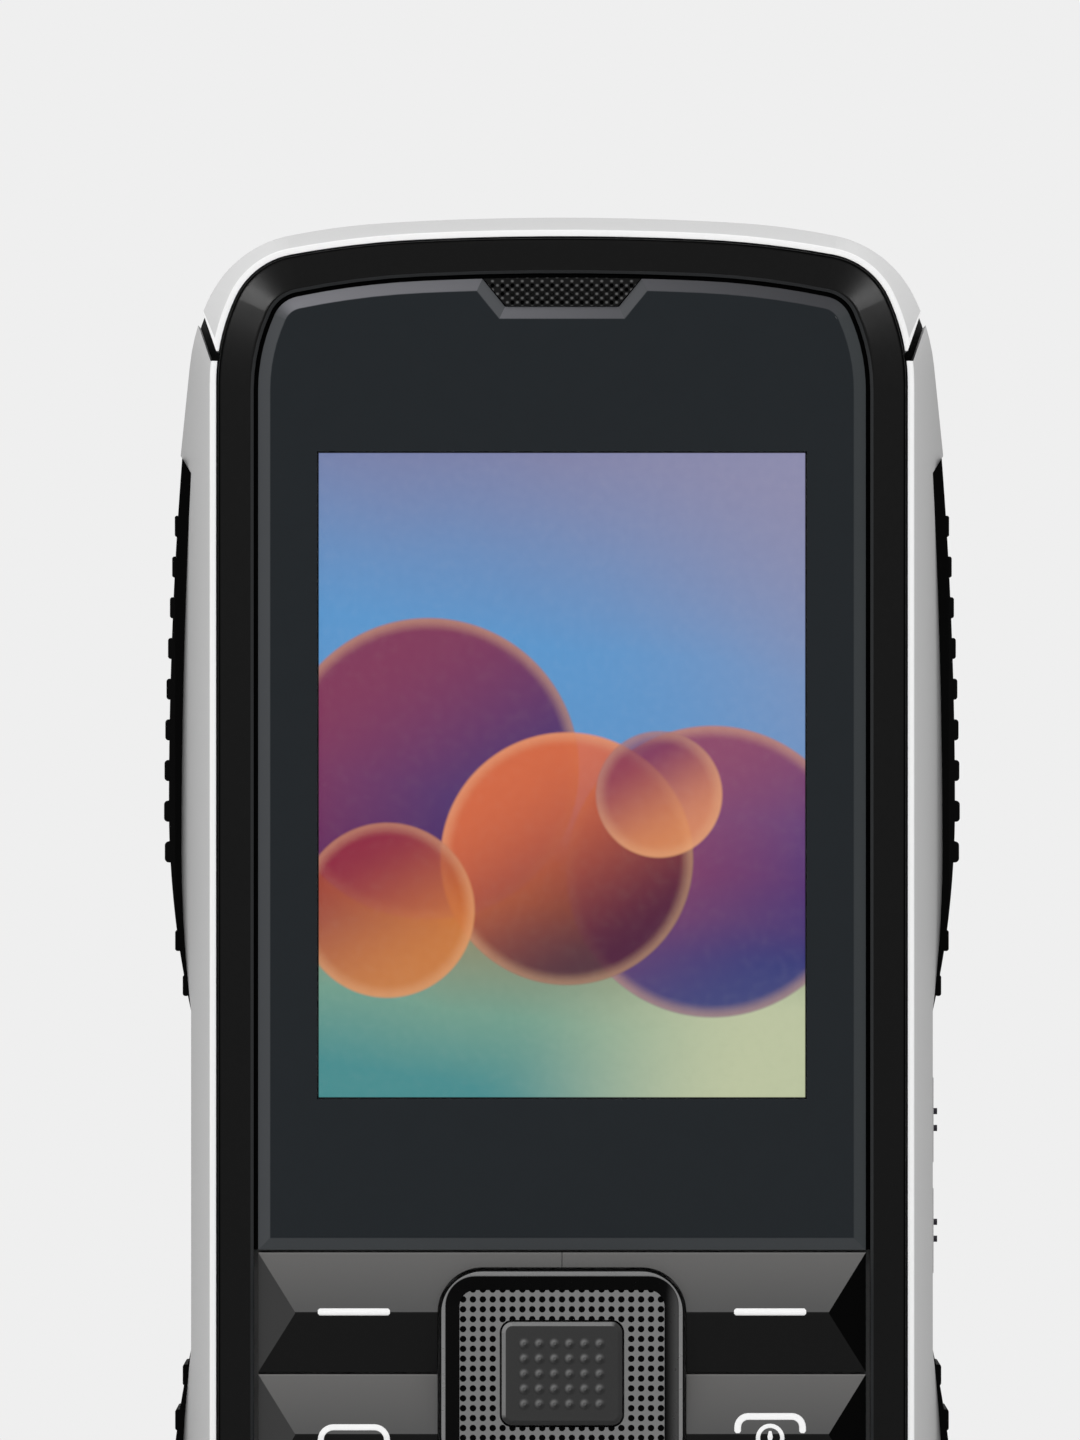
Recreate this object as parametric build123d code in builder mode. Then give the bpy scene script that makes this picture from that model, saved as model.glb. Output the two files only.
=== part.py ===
"""A bar-shaped feature phone with a keypad, built up from its separate pieces.

X points to the right as the phone is seen from the front, Y points from the front to the back
and Z points up. The phone stands on its flat bottom end, with the origin under its middle.
All lengths are millimetres.
"""
import os
from math import atan2, ceil, cos, degrees, radians, sin, sqrt, tan

from build123d import *

# Overall size
height = 138.0
depth = 17.2
overrun = 3.0

# Outline of the body, seen from the front: places on the sides are shares of the height
waist_half_width = 28.05
shoulder_rise = 0.81
shoulder_lean = 0.72
saddle_rise = 0.75
shoulder_share = 0.1304
recess_lead = 1.3
saddle_peak_share = 0.3464
recess_end_share = 0.4348
waist_share = 0.5275
lower_tip_height = 16.56
crown_headings = (3.54, 11.67, 62.92)
crown_side_radius = 51.46
corner_radius = 8.55
side_radius = 15.0
side_heading = 84.0
base_headings = (8.13, 59.38)
base_side_radius = 35.0

# Outline of the black front housing inside the band
rail_width = 2.04
bezel_top_drop = 1.55
bezel_bottom_height = 1.55
bezel_headings = (2.64, 10.59, 65.08)
bezel_crown_side_radius = 71.96
bezel_corner_radius = 5.63
bezel_side_radius = 15.4
bezel_base_headings = (7.95, 62.44)
bezel_base_side_radius = 40.0
bezel_base_corner_radius = 4.8
bezel_base_upright_radius = 13.1
upright = 90.0

# Depth of each layer, worked back from the foremost key face and forward from the back
nav_front = -depth / 2
back_face = depth / 2
bezel_setback = 0.7
bezel_front = nav_front + bezel_setback
bezel_slope_width = 2.4
bezel_slope_depth = 0.36
bezel_round = 0.25
bezel_lip = 0.25
bezel_lip_turn = 45.0
front_wall = 1.9
front_wall_back = bezel_front + front_wall
band_setback = 0.65
band_front = bezel_front + band_setback
board_thickness = 1.0
board_edge_gap = 0.35
split_rise = 2.0
split_gap = 0.1
flange_thickness = 2.1
cover_depth = 3.4
cover_front = back_face - cover_depth
cover_gap = 0.1
cover_wall = 1.2
cover_inner = back_face - cover_wall
cover_round = 2.6
cover_clearance = 0.25
flange_back = cover_front - cover_gap
flange_front = flange_back - flange_thickness
plateau_gap = 0.3
plateau_back = cover_inner - plateau_gap
rear_wall = 1.0
side_wall = 1.5

# Light band round the body
shell_gap = 0.12
strip_width = 0.42
slope_depth = 3.0
slope_turn = 45.0
band_gap = 0.1
notch_tip_drop = 10.1
notch_tip_margin = 0.11
notch_gap = 0.45
notch_lean = 19.5
notch_foot = 0.6
base_notch_height = 8.6

# Rubber grips
grip_rise = 0.95
grip_peak_share = 0.3225
grip_tip_sink = 0.14
grip_front_setback = 3.0
grip_chamfer = 0.9
grip_root = 1.05
rib_pitch = 3.08
rib_length = 1.6
rib_height = 0.4
rib_corner_share = 0.8
first_rib_share = 0.5
first_rib_gap = 5.33
rib_rest = 12.0
end_rib_gaps = (5.34, 1.94)
end_rib_share = 0.6

# Display, its lens and the earpiece
bezel_border = 3.06
display_side_margin = 4.59
display_height_share = 4 / 3
display_top_drop = 17.82
lens_top_drop = 4.57
lens_bottom_margin = 11.22
lens_crown_radius = 230.0
lens_shoulder_radius = 60.0
lens_shoulder_inset = 1.81
lens_corner_radius = 2.4
lens_side_drop = 8.5
lens_thickness = 1.0
lens_setback = 0.2
lens_clearance = 0.32
grille_clearance = 0.06
lens_bevel_width = 1.0
lens_bevel_depth = 0.22
lens_seat_gap = 0.05
notch_top_half_width = 6.08
notch_bottom_half_width = 4.3
notch_depth = 2.19
grille_thickness = 0.6
grille_setback = 0.25
grille_hole_radius = 0.15
grille_hole_pitch = 0.75
grille_hole_rise = 0.32
sound_slot_width = 8.0
sound_slot_height = 1.2
panel_margin = 2.1
panel_driver_margin = 3.6
frame_wall = 0.7
frame_front_wall = 0.35
frame_back_wall = 0.15
frame_clearance = 0.1
flex_width = 14.0
flex_thickness = 0.15
flex_length = 6.0
connector_width = 10.0
connector_height = 2.6
connector_depth = 0.9

# Keypad
key_top_gap = 0.2
function_pitch = 9.2
key_gap = 0.16
split_key_gap = 0.04
key_edge_setback = 1.2
key_ridge_setback = 0.3
key_back_setback = 2.65
hip_length = 2.8
ridge_width = 0.1
keypad_bottom = 7.6
number_rows = 4
number_columns = 3
key_clearance = 0.16
key_travel = 0.3
stem_radius = 1.0
stem_clearance = 0.3
travel_clearance = 0.05
mat_thickness = 0.8
mat_margin = 0.85
mat_rim_width = 0.6
mat_gap = 0.1
dome_radius = 1.9
dome_top_radius = 1.0
dome_height = 0.5
dome_sheet_thickness = 0.15
dome_clearance = 0.5

# Navigation key
nav_width = 18.41
nav_height = 15.63
nav_radius = 3.2
nav_gap = 0.18
nav_depth = 1.9
plate_width = 15.47
plate_height = 12.6
plate_radius = 1.2
plate_setback = 0.4
plate_thickness = 1.0
rim_line_width = 0.34
rim_chamfer = 0.12
dimple_pitch = 0.747
dimple_radius = 0.245
dimple_depth = 0.3
select_width = 9.1
select_height = 7.8
select_radius = 0.8
select_gap = 0.15
select_chamfer = 0.34
select_chamfer_depth = 0.2
pip_radius = 0.45
pip_height = 0.16
pip_flank = 64.0
pip_pitch = 1.14
pip_columns = 6
pip_rows = 5
gimbal_width = 12.0
gimbal_height = 12.4
gimbal_radius = 2.0
gimbal_gap = 0.25
gimbal_thickness = 0.5
gimbal_window_gap = 0.45
nav_stem_radius = 0.7
nav_stem_inset = 2.3
gimbal_stem_inset = 0.9
nav_stem_clearance = 0.5

# Volume keys on the right side
volume_key_pitch = 8.4
volume_key_rise = 0.3
volume_key_length = 6.4
volume_key_depth = 2.2
volume_key_proud = 0.12
volume_key_clearance = 0.15
volume_key_offset = 0.6
volume_key_reach = 3.27
volume_key_travel = 0.3
nub_radius = 0.24
nub_spacing = 1.28
nub_height = 0.3
switch_length = 3.0
switch_body = 2.0
switch_depth = 1.5
switch_plunger_radius = 0.5
switch_plunger_length = 1.0

# Screws and the columns that they hold together
top_screw_inset = 7.5
top_screw_drop = 10.0
middle_screw_inset = 6.4
middle_screw_margin = 4.1
bottom_screw_inset = 9.5
bottom_screw_z = 5.2
screw_radius = 0.8
screw_length = 6.0
screw_head_radius = 1.25
screw_head_height = 0.9
screw_seat_depth = 2.7
screw_slot_width = 0.3
screw_slot_depth = 0.45
screw_clearance = 0.15
boss_radius = 1.4
column_radius = 1.8

# Battery, its bay and its contacts
battery_width = 34.0
battery_top_drop = 53.0
battery_back_gap = 0.45
battery_bottom = 31.0
battery_clearance = 0.25
battery_round = 0.8
bay_floor_room = 2.3
bay_floor_thickness = 0.8
bay_wall = 0.8
contact_width = 8.0
contact_height = 3.2
contact_depth = 4.5
blade_count = 3
blade_pitch = 2.5
blade_width = 1.0
blade_gap = 0.12
blade_thickness = 0.9

# Parts on the back of the board
camera_drop = 20.5
camera_size = 8.4
camera_base_depth = 4.6
camera_barrel_radius = 3.2
camera_pupil_radius = 1.2
camera_pupil_depth = 0.6
camera_hole_clearance = 0.4
window_radius = 4.6
window_thickness = 0.9
window_setback = 0.15
window_hole_radius = 3.7
groove_count = 9
groove_pitch = 3.4
groove_length = 30.0
groove_width = 1.0
groove_depth = 0.35
groove_rise = 24.0
thumb_width = 14.0
thumb_height = 2.4
thumb_depth = 0.6
thumb_rise = 9.0
speaker_drop = 38.5
speaker_width = 20.0
speaker_height = 13.0
speaker_depth = 4.0
speaker_round = 2.0
speaker_rim = 1.0
speaker_recess = 0.5
slot_count = 5
slot_pitch = 2.0
slot_length = 9.0
slot_width = 0.9
motor_x = 14.5
motor_drop = 19.0
motor_radius = 4.0
motor_thickness = 2.8
processor_width = 24.0
processor_height = 16.5
processor_drop = 39.6
radio_width = 16.0
radio_height = 10.0
radio_gap = 0.95
radio_x = -10.0
can_depth = 1.6
can_wall = 0.2
sim_width = 15.0
sim_height = 13.0
sim_depth = 1.5
sim_gap = 1.4
sim_wall = 1.6
sim_slot_height = 0.9
card_width = 14.0
card_height = 13.0
bay_window_margin = 0.6
antenna_width = 24.0
antenna_height = 8.0
antenna_jack_gap = 0.4
antenna_bottom = 3.4
antenna_x = -1.0
antenna_gap = 0.1

# Parts on the ends and the front of the board
receiver_width = 12.0
receiver_height = 6.2
receiver_gap = 0.2
receiver_drop = 6.9
receiver_round = 0.8
microphone_radius = 1.6
microphone_depth = 1.6
microphone_gap = 0.25
microphone_hole_radius = 0.45
torch_x = -8.7
torch_radius = 2.5
torch_clearance = 0.08
torch_length = 3.1
torch_proud = 0.05
torch_dome = 0.35
torch_led_size = 3.0
torch_led_height = 1.6
torch_led_gap = 0.2
usb_x = -7.5
usb_width = 7.5
usb_depth = 2.7
usb_length = 5.4
usb_wall = 0.3
usb_recess = 0.5
usb_tongue_width = 3.6
usb_tongue_depth = 0.6
usb_clearance = 0.15
jack_x = 9.0
jack_width = 6.4
jack_body_depth = 5.0
jack_body_length = 12.2
jack_bore_radius = 1.8
jack_bore_length = 13.0
jack_nose_radius = 2.8
jack_recess = 0.35
jack_clearance = 0.1

# Places along the width and the height, worked out from the sizes above
shoulder_half_width = waist_half_width + shoulder_rise
saddle_half_width = waist_half_width + saddle_rise
grip_peak_half_width = saddle_half_width + grip_rise
grip_tip_half_width = shoulder_half_width - grip_tip_sink
grip_root_half_width = waist_half_width - grip_root
bezel_half_width = waist_half_width - rail_width
notch_tip_half_width = bezel_half_width + notch_tip_margin
lens_half_width = bezel_half_width - bezel_border
lens_shoulder_half_width = lens_half_width - lens_shoulder_inset
key_half_width = lens_half_width
shoulder_drop = shoulder_share * height
saddle_peak_drop = saddle_peak_share * height
recess_end_drop = recess_end_share * height
grip_peak_drop = grip_peak_share * height
waist_z = height - waist_share * height
lower_tip_drop = height - 2 * waist_z + lower_tip_height
bezel_top = height - bezel_top_drop
display_width = 2 * (lens_half_width - display_side_margin)
display_height = display_width * display_height_share
display_top = height - display_top_drop
display_bottom = display_top - display_height
display_middle = (display_top + display_bottom) / 2
lens_top = height - lens_top_drop
lens_bottom = display_bottom - lens_bottom_margin
keypad_top = lens_bottom - key_top_gap
function_row_tops = (keypad_top, keypad_top - function_pitch)
number_top = keypad_top - 2 * function_pitch
number_pitch = (number_top - keypad_bottom) / number_rows
column_pitch = 2 * key_half_width / number_columns
nav_z = keypad_top - function_pitch + key_gap / 2
opening_half_width = key_half_width + lens_clearance
opening_bottom = keypad_bottom - key_clearance + key_gap
mat_half_width = opening_half_width + mat_margin
mat_top = keypad_top + mat_margin
mat_bottom = keypad_bottom - mat_margin
mat_middle = (mat_top + mat_bottom) / 2
microphone_z = mat_bottom - microphone_gap - microphone_radius
volume_key_middle = waist_z + volume_key_rise
volume_key_places = [volume_key_middle + volume_key_pitch / 2, volume_key_middle - volume_key_pitch / 2]
volume_key_end = waist_half_width + volume_key_proud
volume_key_root = volume_key_end - volume_key_reach
switch_edge = volume_key_root - volume_key_travel - travel_clearance
battery_height = height - battery_top_drop - battery_bottom
bay_bottom = battery_bottom - battery_clearance
radio_bottom = bay_bottom - bay_wall - radio_gap - radio_height
socket_gap = (battery_height - sim_height - card_height) / 3
sim_x = (sim_width + sim_gap) / 2
card_bottom = battery_bottom + socket_gap
sim_bottom = card_bottom + card_height + socket_gap
function_stem_x = (nav_width / 2 + key_half_width) / 2
nav_stem_x = nav_width / 2 - nav_stem_inset
gimbal_stem_z = gimbal_height / 2 - gimbal_stem_inset
screw_insets = (top_screw_inset, middle_screw_inset, bottom_screw_inset)
screw_heights = (height - top_screw_drop, lens_bottom + middle_screw_margin, bottom_screw_z)
screw_places = [(side * (bezel_half_width - inset), z)
                for inset, z in zip(screw_insets, screw_heights) for side in (-1, 1)]
nav_stem_places = [(side * nav_stem_x, nav_z) for side in (-1, 1)]
gimbal_stem_places = [(0, nav_z + side * gimbal_stem_z) for side in (-1, 1)]

# Places through the depth
lens_front = bezel_front + lens_setback
lens_back = lens_front + lens_thickness
key_back = nav_front + key_back_setback
key_edge = nav_front + key_edge_setback
key_ridge = nav_front + key_ridge_setback
mat_front = key_back + key_travel + mat_gap
mat_back = mat_front + mat_thickness
board_front = mat_back + dome_clearance + dome_height + dome_sheet_thickness
board_back = board_front + board_thickness
stem_tip = board_front - dome_sheet_thickness - dome_height - key_travel - travel_clearance
front_split = board_back + split_rise
rear_split = front_split + split_gap
torch_y = front_split + split_gap / 2
usb_y = board_back + usb_depth / 2
jack_y = board_back + jack_body_depth / 2
volume_key_y = board_back + volume_key_offset
grip_front = nav_front + grip_front_setback
grip_back = flange_back


def front_plane(y):
    """The upright plane at depth y, seen from the front."""
    return Plane.XZ.offset(-y)


def save(piece, name):
    """Name a finished piece and write it to its own file."""
    piece.part.label = name
    export_step(piece.part, f"parts/{name}.step")


def arc_reach(radii, headings):
    """How far out a chain of tangent arcs goes between its first heading and its last one."""
    sines = [sin(radians(heading)) for heading in headings]
    return sum(radius * (last - first) for radius, first, last in zip(radii, sines, sines[1:]))


def end_arcs(start, side, radii, headings):
    """Tangent arcs from an end's middle towards its right corner: side is -1 at the top, 1 at the bottom."""
    point, direction = start, (1, 0)
    arc = None
    for radius, first, last in zip(radii, headings, headings[1:]):
        arc = JernArc(point, direction, radius, side * (last - first))
        point, direction = arc @ 1, arc % 1
    return arc


def crown_radius(half_width, radii, headings):
    """The radius of the widest arc at the top, which takes the half width that the corner arcs leave."""
    return (half_width - arc_reach(radii, headings)) / sin(radians(headings[0]))


def crown_arcs(top, half_width, radii, headings):
    """The crowned top out to a half width."""
    widest = crown_radius(half_width, radii, headings)
    return end_arcs((0, top), -1, (widest,) + radii, (0,) + headings)


def base_arcs(bottom, half_width, radii, headings):
    """The flat bottom and the corner arcs out to a half width."""
    flat = Line((0, bottom), (half_width - arc_reach(radii, (0,) + headings), bottom))
    return end_arcs(flat @ 1, 1, radii, (0,) + headings)


def plain_outline(top, bottom, half_width, crown, base):
    """A closed front outline with a crowned top, straight sides and a flat bottom end."""
    with BuildSketch() as outline:
        with BuildLine():
            top_end = crown_arcs(top, half_width, *crown)
            base_end = base_arcs(bottom, half_width, *base)
            Line(top_end @ 1, base_end @ 1)
            mirror(about=Plane.YZ)
        make_face()
    return outline.sketch


def below(drop):
    """The height that mirrors a distance below the top in the waist of the phone."""
    return 2 * waist_z - (height - drop)


corner_half_width = shoulder_half_width - shoulder_lean
case_crown = ((crown_side_radius, corner_radius, side_radius), crown_headings + (side_heading,))
case_base = ((base_side_radius, corner_radius, side_radius), base_headings + (side_heading,))


def case_outline():
    """The closed front outline of the body, with the four shallow recesses that hold the grips."""
    with BuildSketch() as outline:
        with BuildLine():
            crown = crown_arcs(height, corner_half_width, *case_crown)
            recess_top = (waist_half_width, height - shoulder_drop - recess_lead)
            peak = (saddle_half_width, height - saddle_peak_drop)
            recess_end = (waist_half_width, height - recess_end_drop)
            Polyline(crown @ 1, (shoulder_half_width, height - shoulder_drop), recess_top)
            TangentArc(peak, recess_top, tangent=(0, 1))
            TangentArc(peak, recess_end, tangent=(0, -1))
            lower_start = (waist_half_width, below(recess_end_drop))
            lower_peak = (saddle_half_width, below(saddle_peak_drop))
            lower_end = (waist_half_width, lower_tip_height + recess_lead)
            Line(recess_end, lower_start)
            TangentArc(lower_peak, lower_start, tangent=(0, 1))
            TangentArc(lower_peak, lower_end, tangent=(0, -1))
            base = base_arcs(0, corner_half_width, *case_base)
            Polyline(lower_end, (shoulder_half_width, lower_tip_height), base @ 1)
            mirror(about=Plane.YZ)
        make_face()
    return outline.sketch


case_face = case_outline()
bezel_face = plain_outline(
    bezel_top, bezel_bottom_height, bezel_half_width,
    ((bezel_crown_side_radius, bezel_corner_radius, bezel_side_radius), bezel_headings + (upright,)),
    ((bezel_base_side_radius, bezel_base_corner_radius, bezel_base_upright_radius),
     bezel_base_headings + (upright,)))
cover_face = plain_outline(
    height, 0, waist_half_width,
    ((crown_side_radius, corner_radius, side_radius), crown_headings + (upright,)),
    ((base_side_radius, corner_radius, side_radius), base_headings + (upright,)))

os.makedirs("parts", exist_ok=True)

# Light band: a ring round the housings whose front edge is a narrow flat strip and then a slope
with BuildPart() as band:
    with BuildSketch(front_plane(band_front + slope_depth)):
        add(bezel_face)
        offset(amount=shell_gap + strip_width + slope_depth)
    extrude(amount=slope_depth, taper=slope_turn)
    with BuildSketch(front_plane(flange_front - band_gap)):
        add(bezel_face)
        offset(amount=shell_gap + strip_width + slope_depth)
    extrude(amount=flange_front - band_gap - band_front - slope_depth)
    with BuildSketch(front_plane(flange_front)):
        add(case_face)
    extrude(amount=flange_front - band_front + overrun, mode=Mode.INTERSECT)
    with BuildSketch(front_plane(flange_front)):
        add(bezel_face)
        offset(amount=shell_gap)
    extrude(amount=flange_front - band_front + overrun, mode=Mode.SUBTRACT)

# The slanted notches part the caps from the rails
notch_slope = tan(radians(notch_lean))
notch_reach = 3 * overrun


def cap_region(tip_z, side):
    """The part of the band beyond the notches: side is 1 for the top cap, -1 for the bottom cap."""
    far = notch_tip_half_width + notch_reach * notch_slope
    inner = bezel_half_width - overrun
    with BuildSketch() as region:
        with BuildLine():
            Polyline(
                (0, tip_z), (inner, tip_z), (notch_tip_half_width, tip_z),
                (far, tip_z + side * notch_reach),
                (far, tip_z + side * height), (0, tip_z + side * height))
            mirror(about=Plane.YZ)
        make_face()
    return region.sketch


def end_openings():
    """What the torch, the data socket and the audio socket need open in the two ends of the phone."""
    with BuildPart() as openings:
        with BuildSketch(Plane.XY.offset(height - bezel_top_drop - side_wall - overrun)):
            with Locations((torch_x, torch_y)):
                Circle(torch_radius + torch_clearance)
        extrude(amount=bezel_top_drop + side_wall + 2 * overrun)
        with BuildSketch(Plane.XY.offset(-overrun)):
            with Locations((usb_x, usb_y)):
                Rectangle(usb_width + 2 * usb_clearance, usb_depth + 2 * usb_clearance)
            with Locations((jack_x, jack_y)):
                Circle(jack_nose_radius + jack_clearance)
        extrude(amount=bezel_bottom_height + side_wall + 2 * overrun)
    return openings.part


end_cuts = end_openings()
top_notch = height - notch_tip_drop
with BuildPart() as top_cap:
    with BuildSketch(front_plane(flange_front)):
        add(cap_region(top_notch, 1))
    extrude(amount=flange_front - band_front + overrun)
    add(band.part, mode=Mode.INTERSECT)
    add(end_cuts, mode=Mode.SUBTRACT)
save(top_cap, "top_cap")

with BuildPart() as bottom_cap:
    with BuildSketch(front_plane(flange_front)):
        add(cap_region(base_notch_height, -1))
    extrude(amount=flange_front - band_front + overrun)
    add(band.part, mode=Mode.INTERSECT)
    add(end_cuts, mode=Mode.SUBTRACT)
save(bottom_cap, "bottom_cap")


def rail_blank(side):
    """One side rail between the top and bottom notches."""
    lean = notch_reach * notch_slope
    tip = notch_tip_half_width + notch_gap * cos(radians(notch_lean))
    top = top_notch - notch_gap * sin(radians(notch_lean)) - notch_foot
    bottom = base_notch_height + notch_gap * sin(radians(notch_lean)) + notch_foot
    with BuildPart() as rail:
        with BuildSketch(front_plane(flange_front)):
            with BuildLine():
                Polyline(
                    (side * (bezel_half_width - overrun), top), (side * tip, top),
                    (side * (tip + lean), top + notch_reach),
                    (side * (tip + lean), bottom - notch_reach), (side * tip, bottom),
                    (side * (bezel_half_width - overrun), bottom), close=True)
            make_face()
        extrude(amount=flange_front - band_front + overrun)
        add(band.part, mode=Mode.INTERSECT)
    return rail.part


with BuildPart() as left_rail:
    add(rail_blank(-1))
save(left_rail, "left_rail")

with BuildPart() as right_rail:
    add(rail_blank(1))
    with BuildSketch(Plane.YZ.offset(bezel_half_width - overrun)):
        with Locations([(volume_key_y, z) for z in volume_key_places]):
            Rectangle(volume_key_depth + 2 * volume_key_clearance,
                      volume_key_length + 2 * volume_key_clearance)
    extrude(amount=2 * overrun, mode=Mode.SUBTRACT)
save(right_rail, "right_rail")


def grip_edge(drop, tip_drop):
    """Half width of a grip's smooth outside at a distance below the top of the phone."""
    rise = recess_end_drop - grip_peak_drop
    run = grip_peak_half_width - waist_half_width
    if drop < grip_peak_drop:
        rise = grip_peak_drop - tip_drop
        run = grip_peak_half_width - grip_tip_half_width
    radius = (rise * rise + run * run) / (2 * run)
    away = drop - grip_peak_drop
    return grip_peak_half_width - radius + sqrt(radius * radius - away * away)


def grip_sketch(tip_drop):
    """Front view of an upper right grip with its row of ribs, before the body is cut away from it."""
    tip = (grip_tip_half_width, height - tip_drop)
    peak = (grip_peak_half_width, height - grip_peak_drop)
    end = (waist_half_width, height - recess_end_drop)
    rib_steps = int((recess_end_drop - tip_drop - first_rib_gap - rib_rest) / rib_pitch)
    ribs = [(recess_end_drop - gap, end_rib_share) for gap in end_rib_gaps]
    for number in range(rib_steps + 1):
        rib_share = first_rib_share + (1 - first_rib_share) * number / rib_steps
        ribs.append((tip_drop + first_rib_gap + number * rib_pitch, rib_share))
    with BuildSketch() as outline:
        with BuildLine():
            TangentArc(peak, tip, tangent=(0, 1))
            TangentArc(peak, end, tangent=(0, -1))
            Polyline(end, (grip_root_half_width, height - recess_end_drop),
                     (grip_root_half_width, height - tip_drop), tip)
        make_face()
        for drop, share in ribs:
            rise = rib_height * share
            with Locations((grip_edge(drop, tip_drop), height - drop)):
                RectangleRounded(2 * rise, rib_length, rise * rib_corner_share)
    return outline.sketch


def grip_blank(tip_drop):
    """An upper right grip with a ribbed outside and chamfered long edges, before the body is cut away."""
    outer = grip_peak_half_width + rib_height
    with BuildPart() as grip:
        with BuildSketch(front_plane(grip_back)):
            add(grip_sketch(tip_drop))
        extrude(amount=grip_back - grip_front)
        with BuildSketch(Plane.XY):
            with BuildLine():
                Polyline((grip_root_half_width, grip_front), (outer - grip_chamfer, grip_front),
                         (outer, grip_front + grip_chamfer), (outer, grip_back - grip_chamfer),
                         (outer - grip_chamfer, grip_back), (grip_root_half_width, grip_back), close=True)
            make_face()
        extrude(amount=height, mode=Mode.INTERSECT)
    return grip.part


def body_core():
    """The solid that fills the body's outline over the depth of the grips."""
    with BuildPart() as core:
        with BuildSketch(front_plane(grip_back + overrun)):
            add(case_face)
        extrude(amount=grip_back - grip_front + 2 * overrun)
    return core.part


core_cut = body_core()
with BuildPart() as upper_right_grip:
    add(grip_blank(shoulder_drop))
    add(core_cut, mode=Mode.SUBTRACT)
save(upper_right_grip, "upper_right_grip")

with BuildPart() as upper_left_grip:
    add(upper_right_grip.part)
    mirror(about=Plane.YZ, mode=Mode.REPLACE)
save(upper_left_grip, "upper_left_grip")

with BuildPart() as lower_right_grip:
    add(grip_blank(lower_tip_drop))
    mirror(about=Plane.XY.offset(waist_z), mode=Mode.REPLACE)
    add(core_cut, mode=Mode.SUBTRACT)
save(lower_right_grip, "lower_right_grip")

with BuildPart() as lower_left_grip:
    add(lower_right_grip.part)
    mirror(about=Plane.YZ, mode=Mode.REPLACE)
save(lower_left_grip, "lower_left_grip")


def lens_outline():
    """Front outline of the lens without the earpiece notch: crowned top, bowed shoulders, square bottom."""
    crown_sine = sin(radians(bezel_headings[0]))
    crown_cosine = cos(radians(bezel_headings[0]))
    crown_half_width = lens_crown_radius * crown_sine
    shoulder_sine = crown_sine + (lens_shoulder_half_width - crown_half_width) / lens_shoulder_radius
    shoulder_cosine = sqrt(1 - shoulder_sine * shoulder_sine)
    crown_fall = lens_crown_radius * (1 - crown_cosine)
    shoulder_fall = crown_fall + lens_shoulder_radius * (crown_cosine - shoulder_cosine)
    crown_end = (crown_half_width, lens_top - crown_fall)
    shoulder = (lens_shoulder_half_width, lens_top - shoulder_fall)
    with BuildSketch() as outline:
        with BuildLine():
            TangentArc((0, lens_top), crown_end, tangent=(1, 0))
            TangentArc(crown_end, shoulder, tangent=(crown_cosine, -crown_sine))
            TangentArc((lens_half_width, lens_top - lens_side_drop), shoulder, tangent=(0, 1))
            Polyline((lens_half_width, lens_top - lens_side_drop),
                     (lens_half_width, lens_bottom), (0, lens_bottom))
            mirror(about=Plane.YZ)
        make_face()
        shoulders = [outline.vertices().sort_by_distance((side * shoulder[0], shoulder[1]))[0]
                     for side in (-1, 1)]
        fillet(shoulders, radius=lens_corner_radius)
    return outline.sketch


def notch_outline(gap):
    """Front outline of the earpiece notch at the top of the lens, grown by a gap."""
    top = lens_top + overrun
    widening = (notch_top_half_width - notch_bottom_half_width) / notch_depth
    bottom = lens_top - notch_depth - gap
    top_half = notch_top_half_width + gap + overrun * widening
    with BuildSketch() as outline:
        with BuildLine():
            Polyline((notch_bottom_half_width + gap, bottom), (top_half, top),
                     (-top_half, top), (-notch_bottom_half_width - gap, bottom), close=True)
        make_face()
    return outline.sketch


lens_face = lens_outline()

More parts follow.
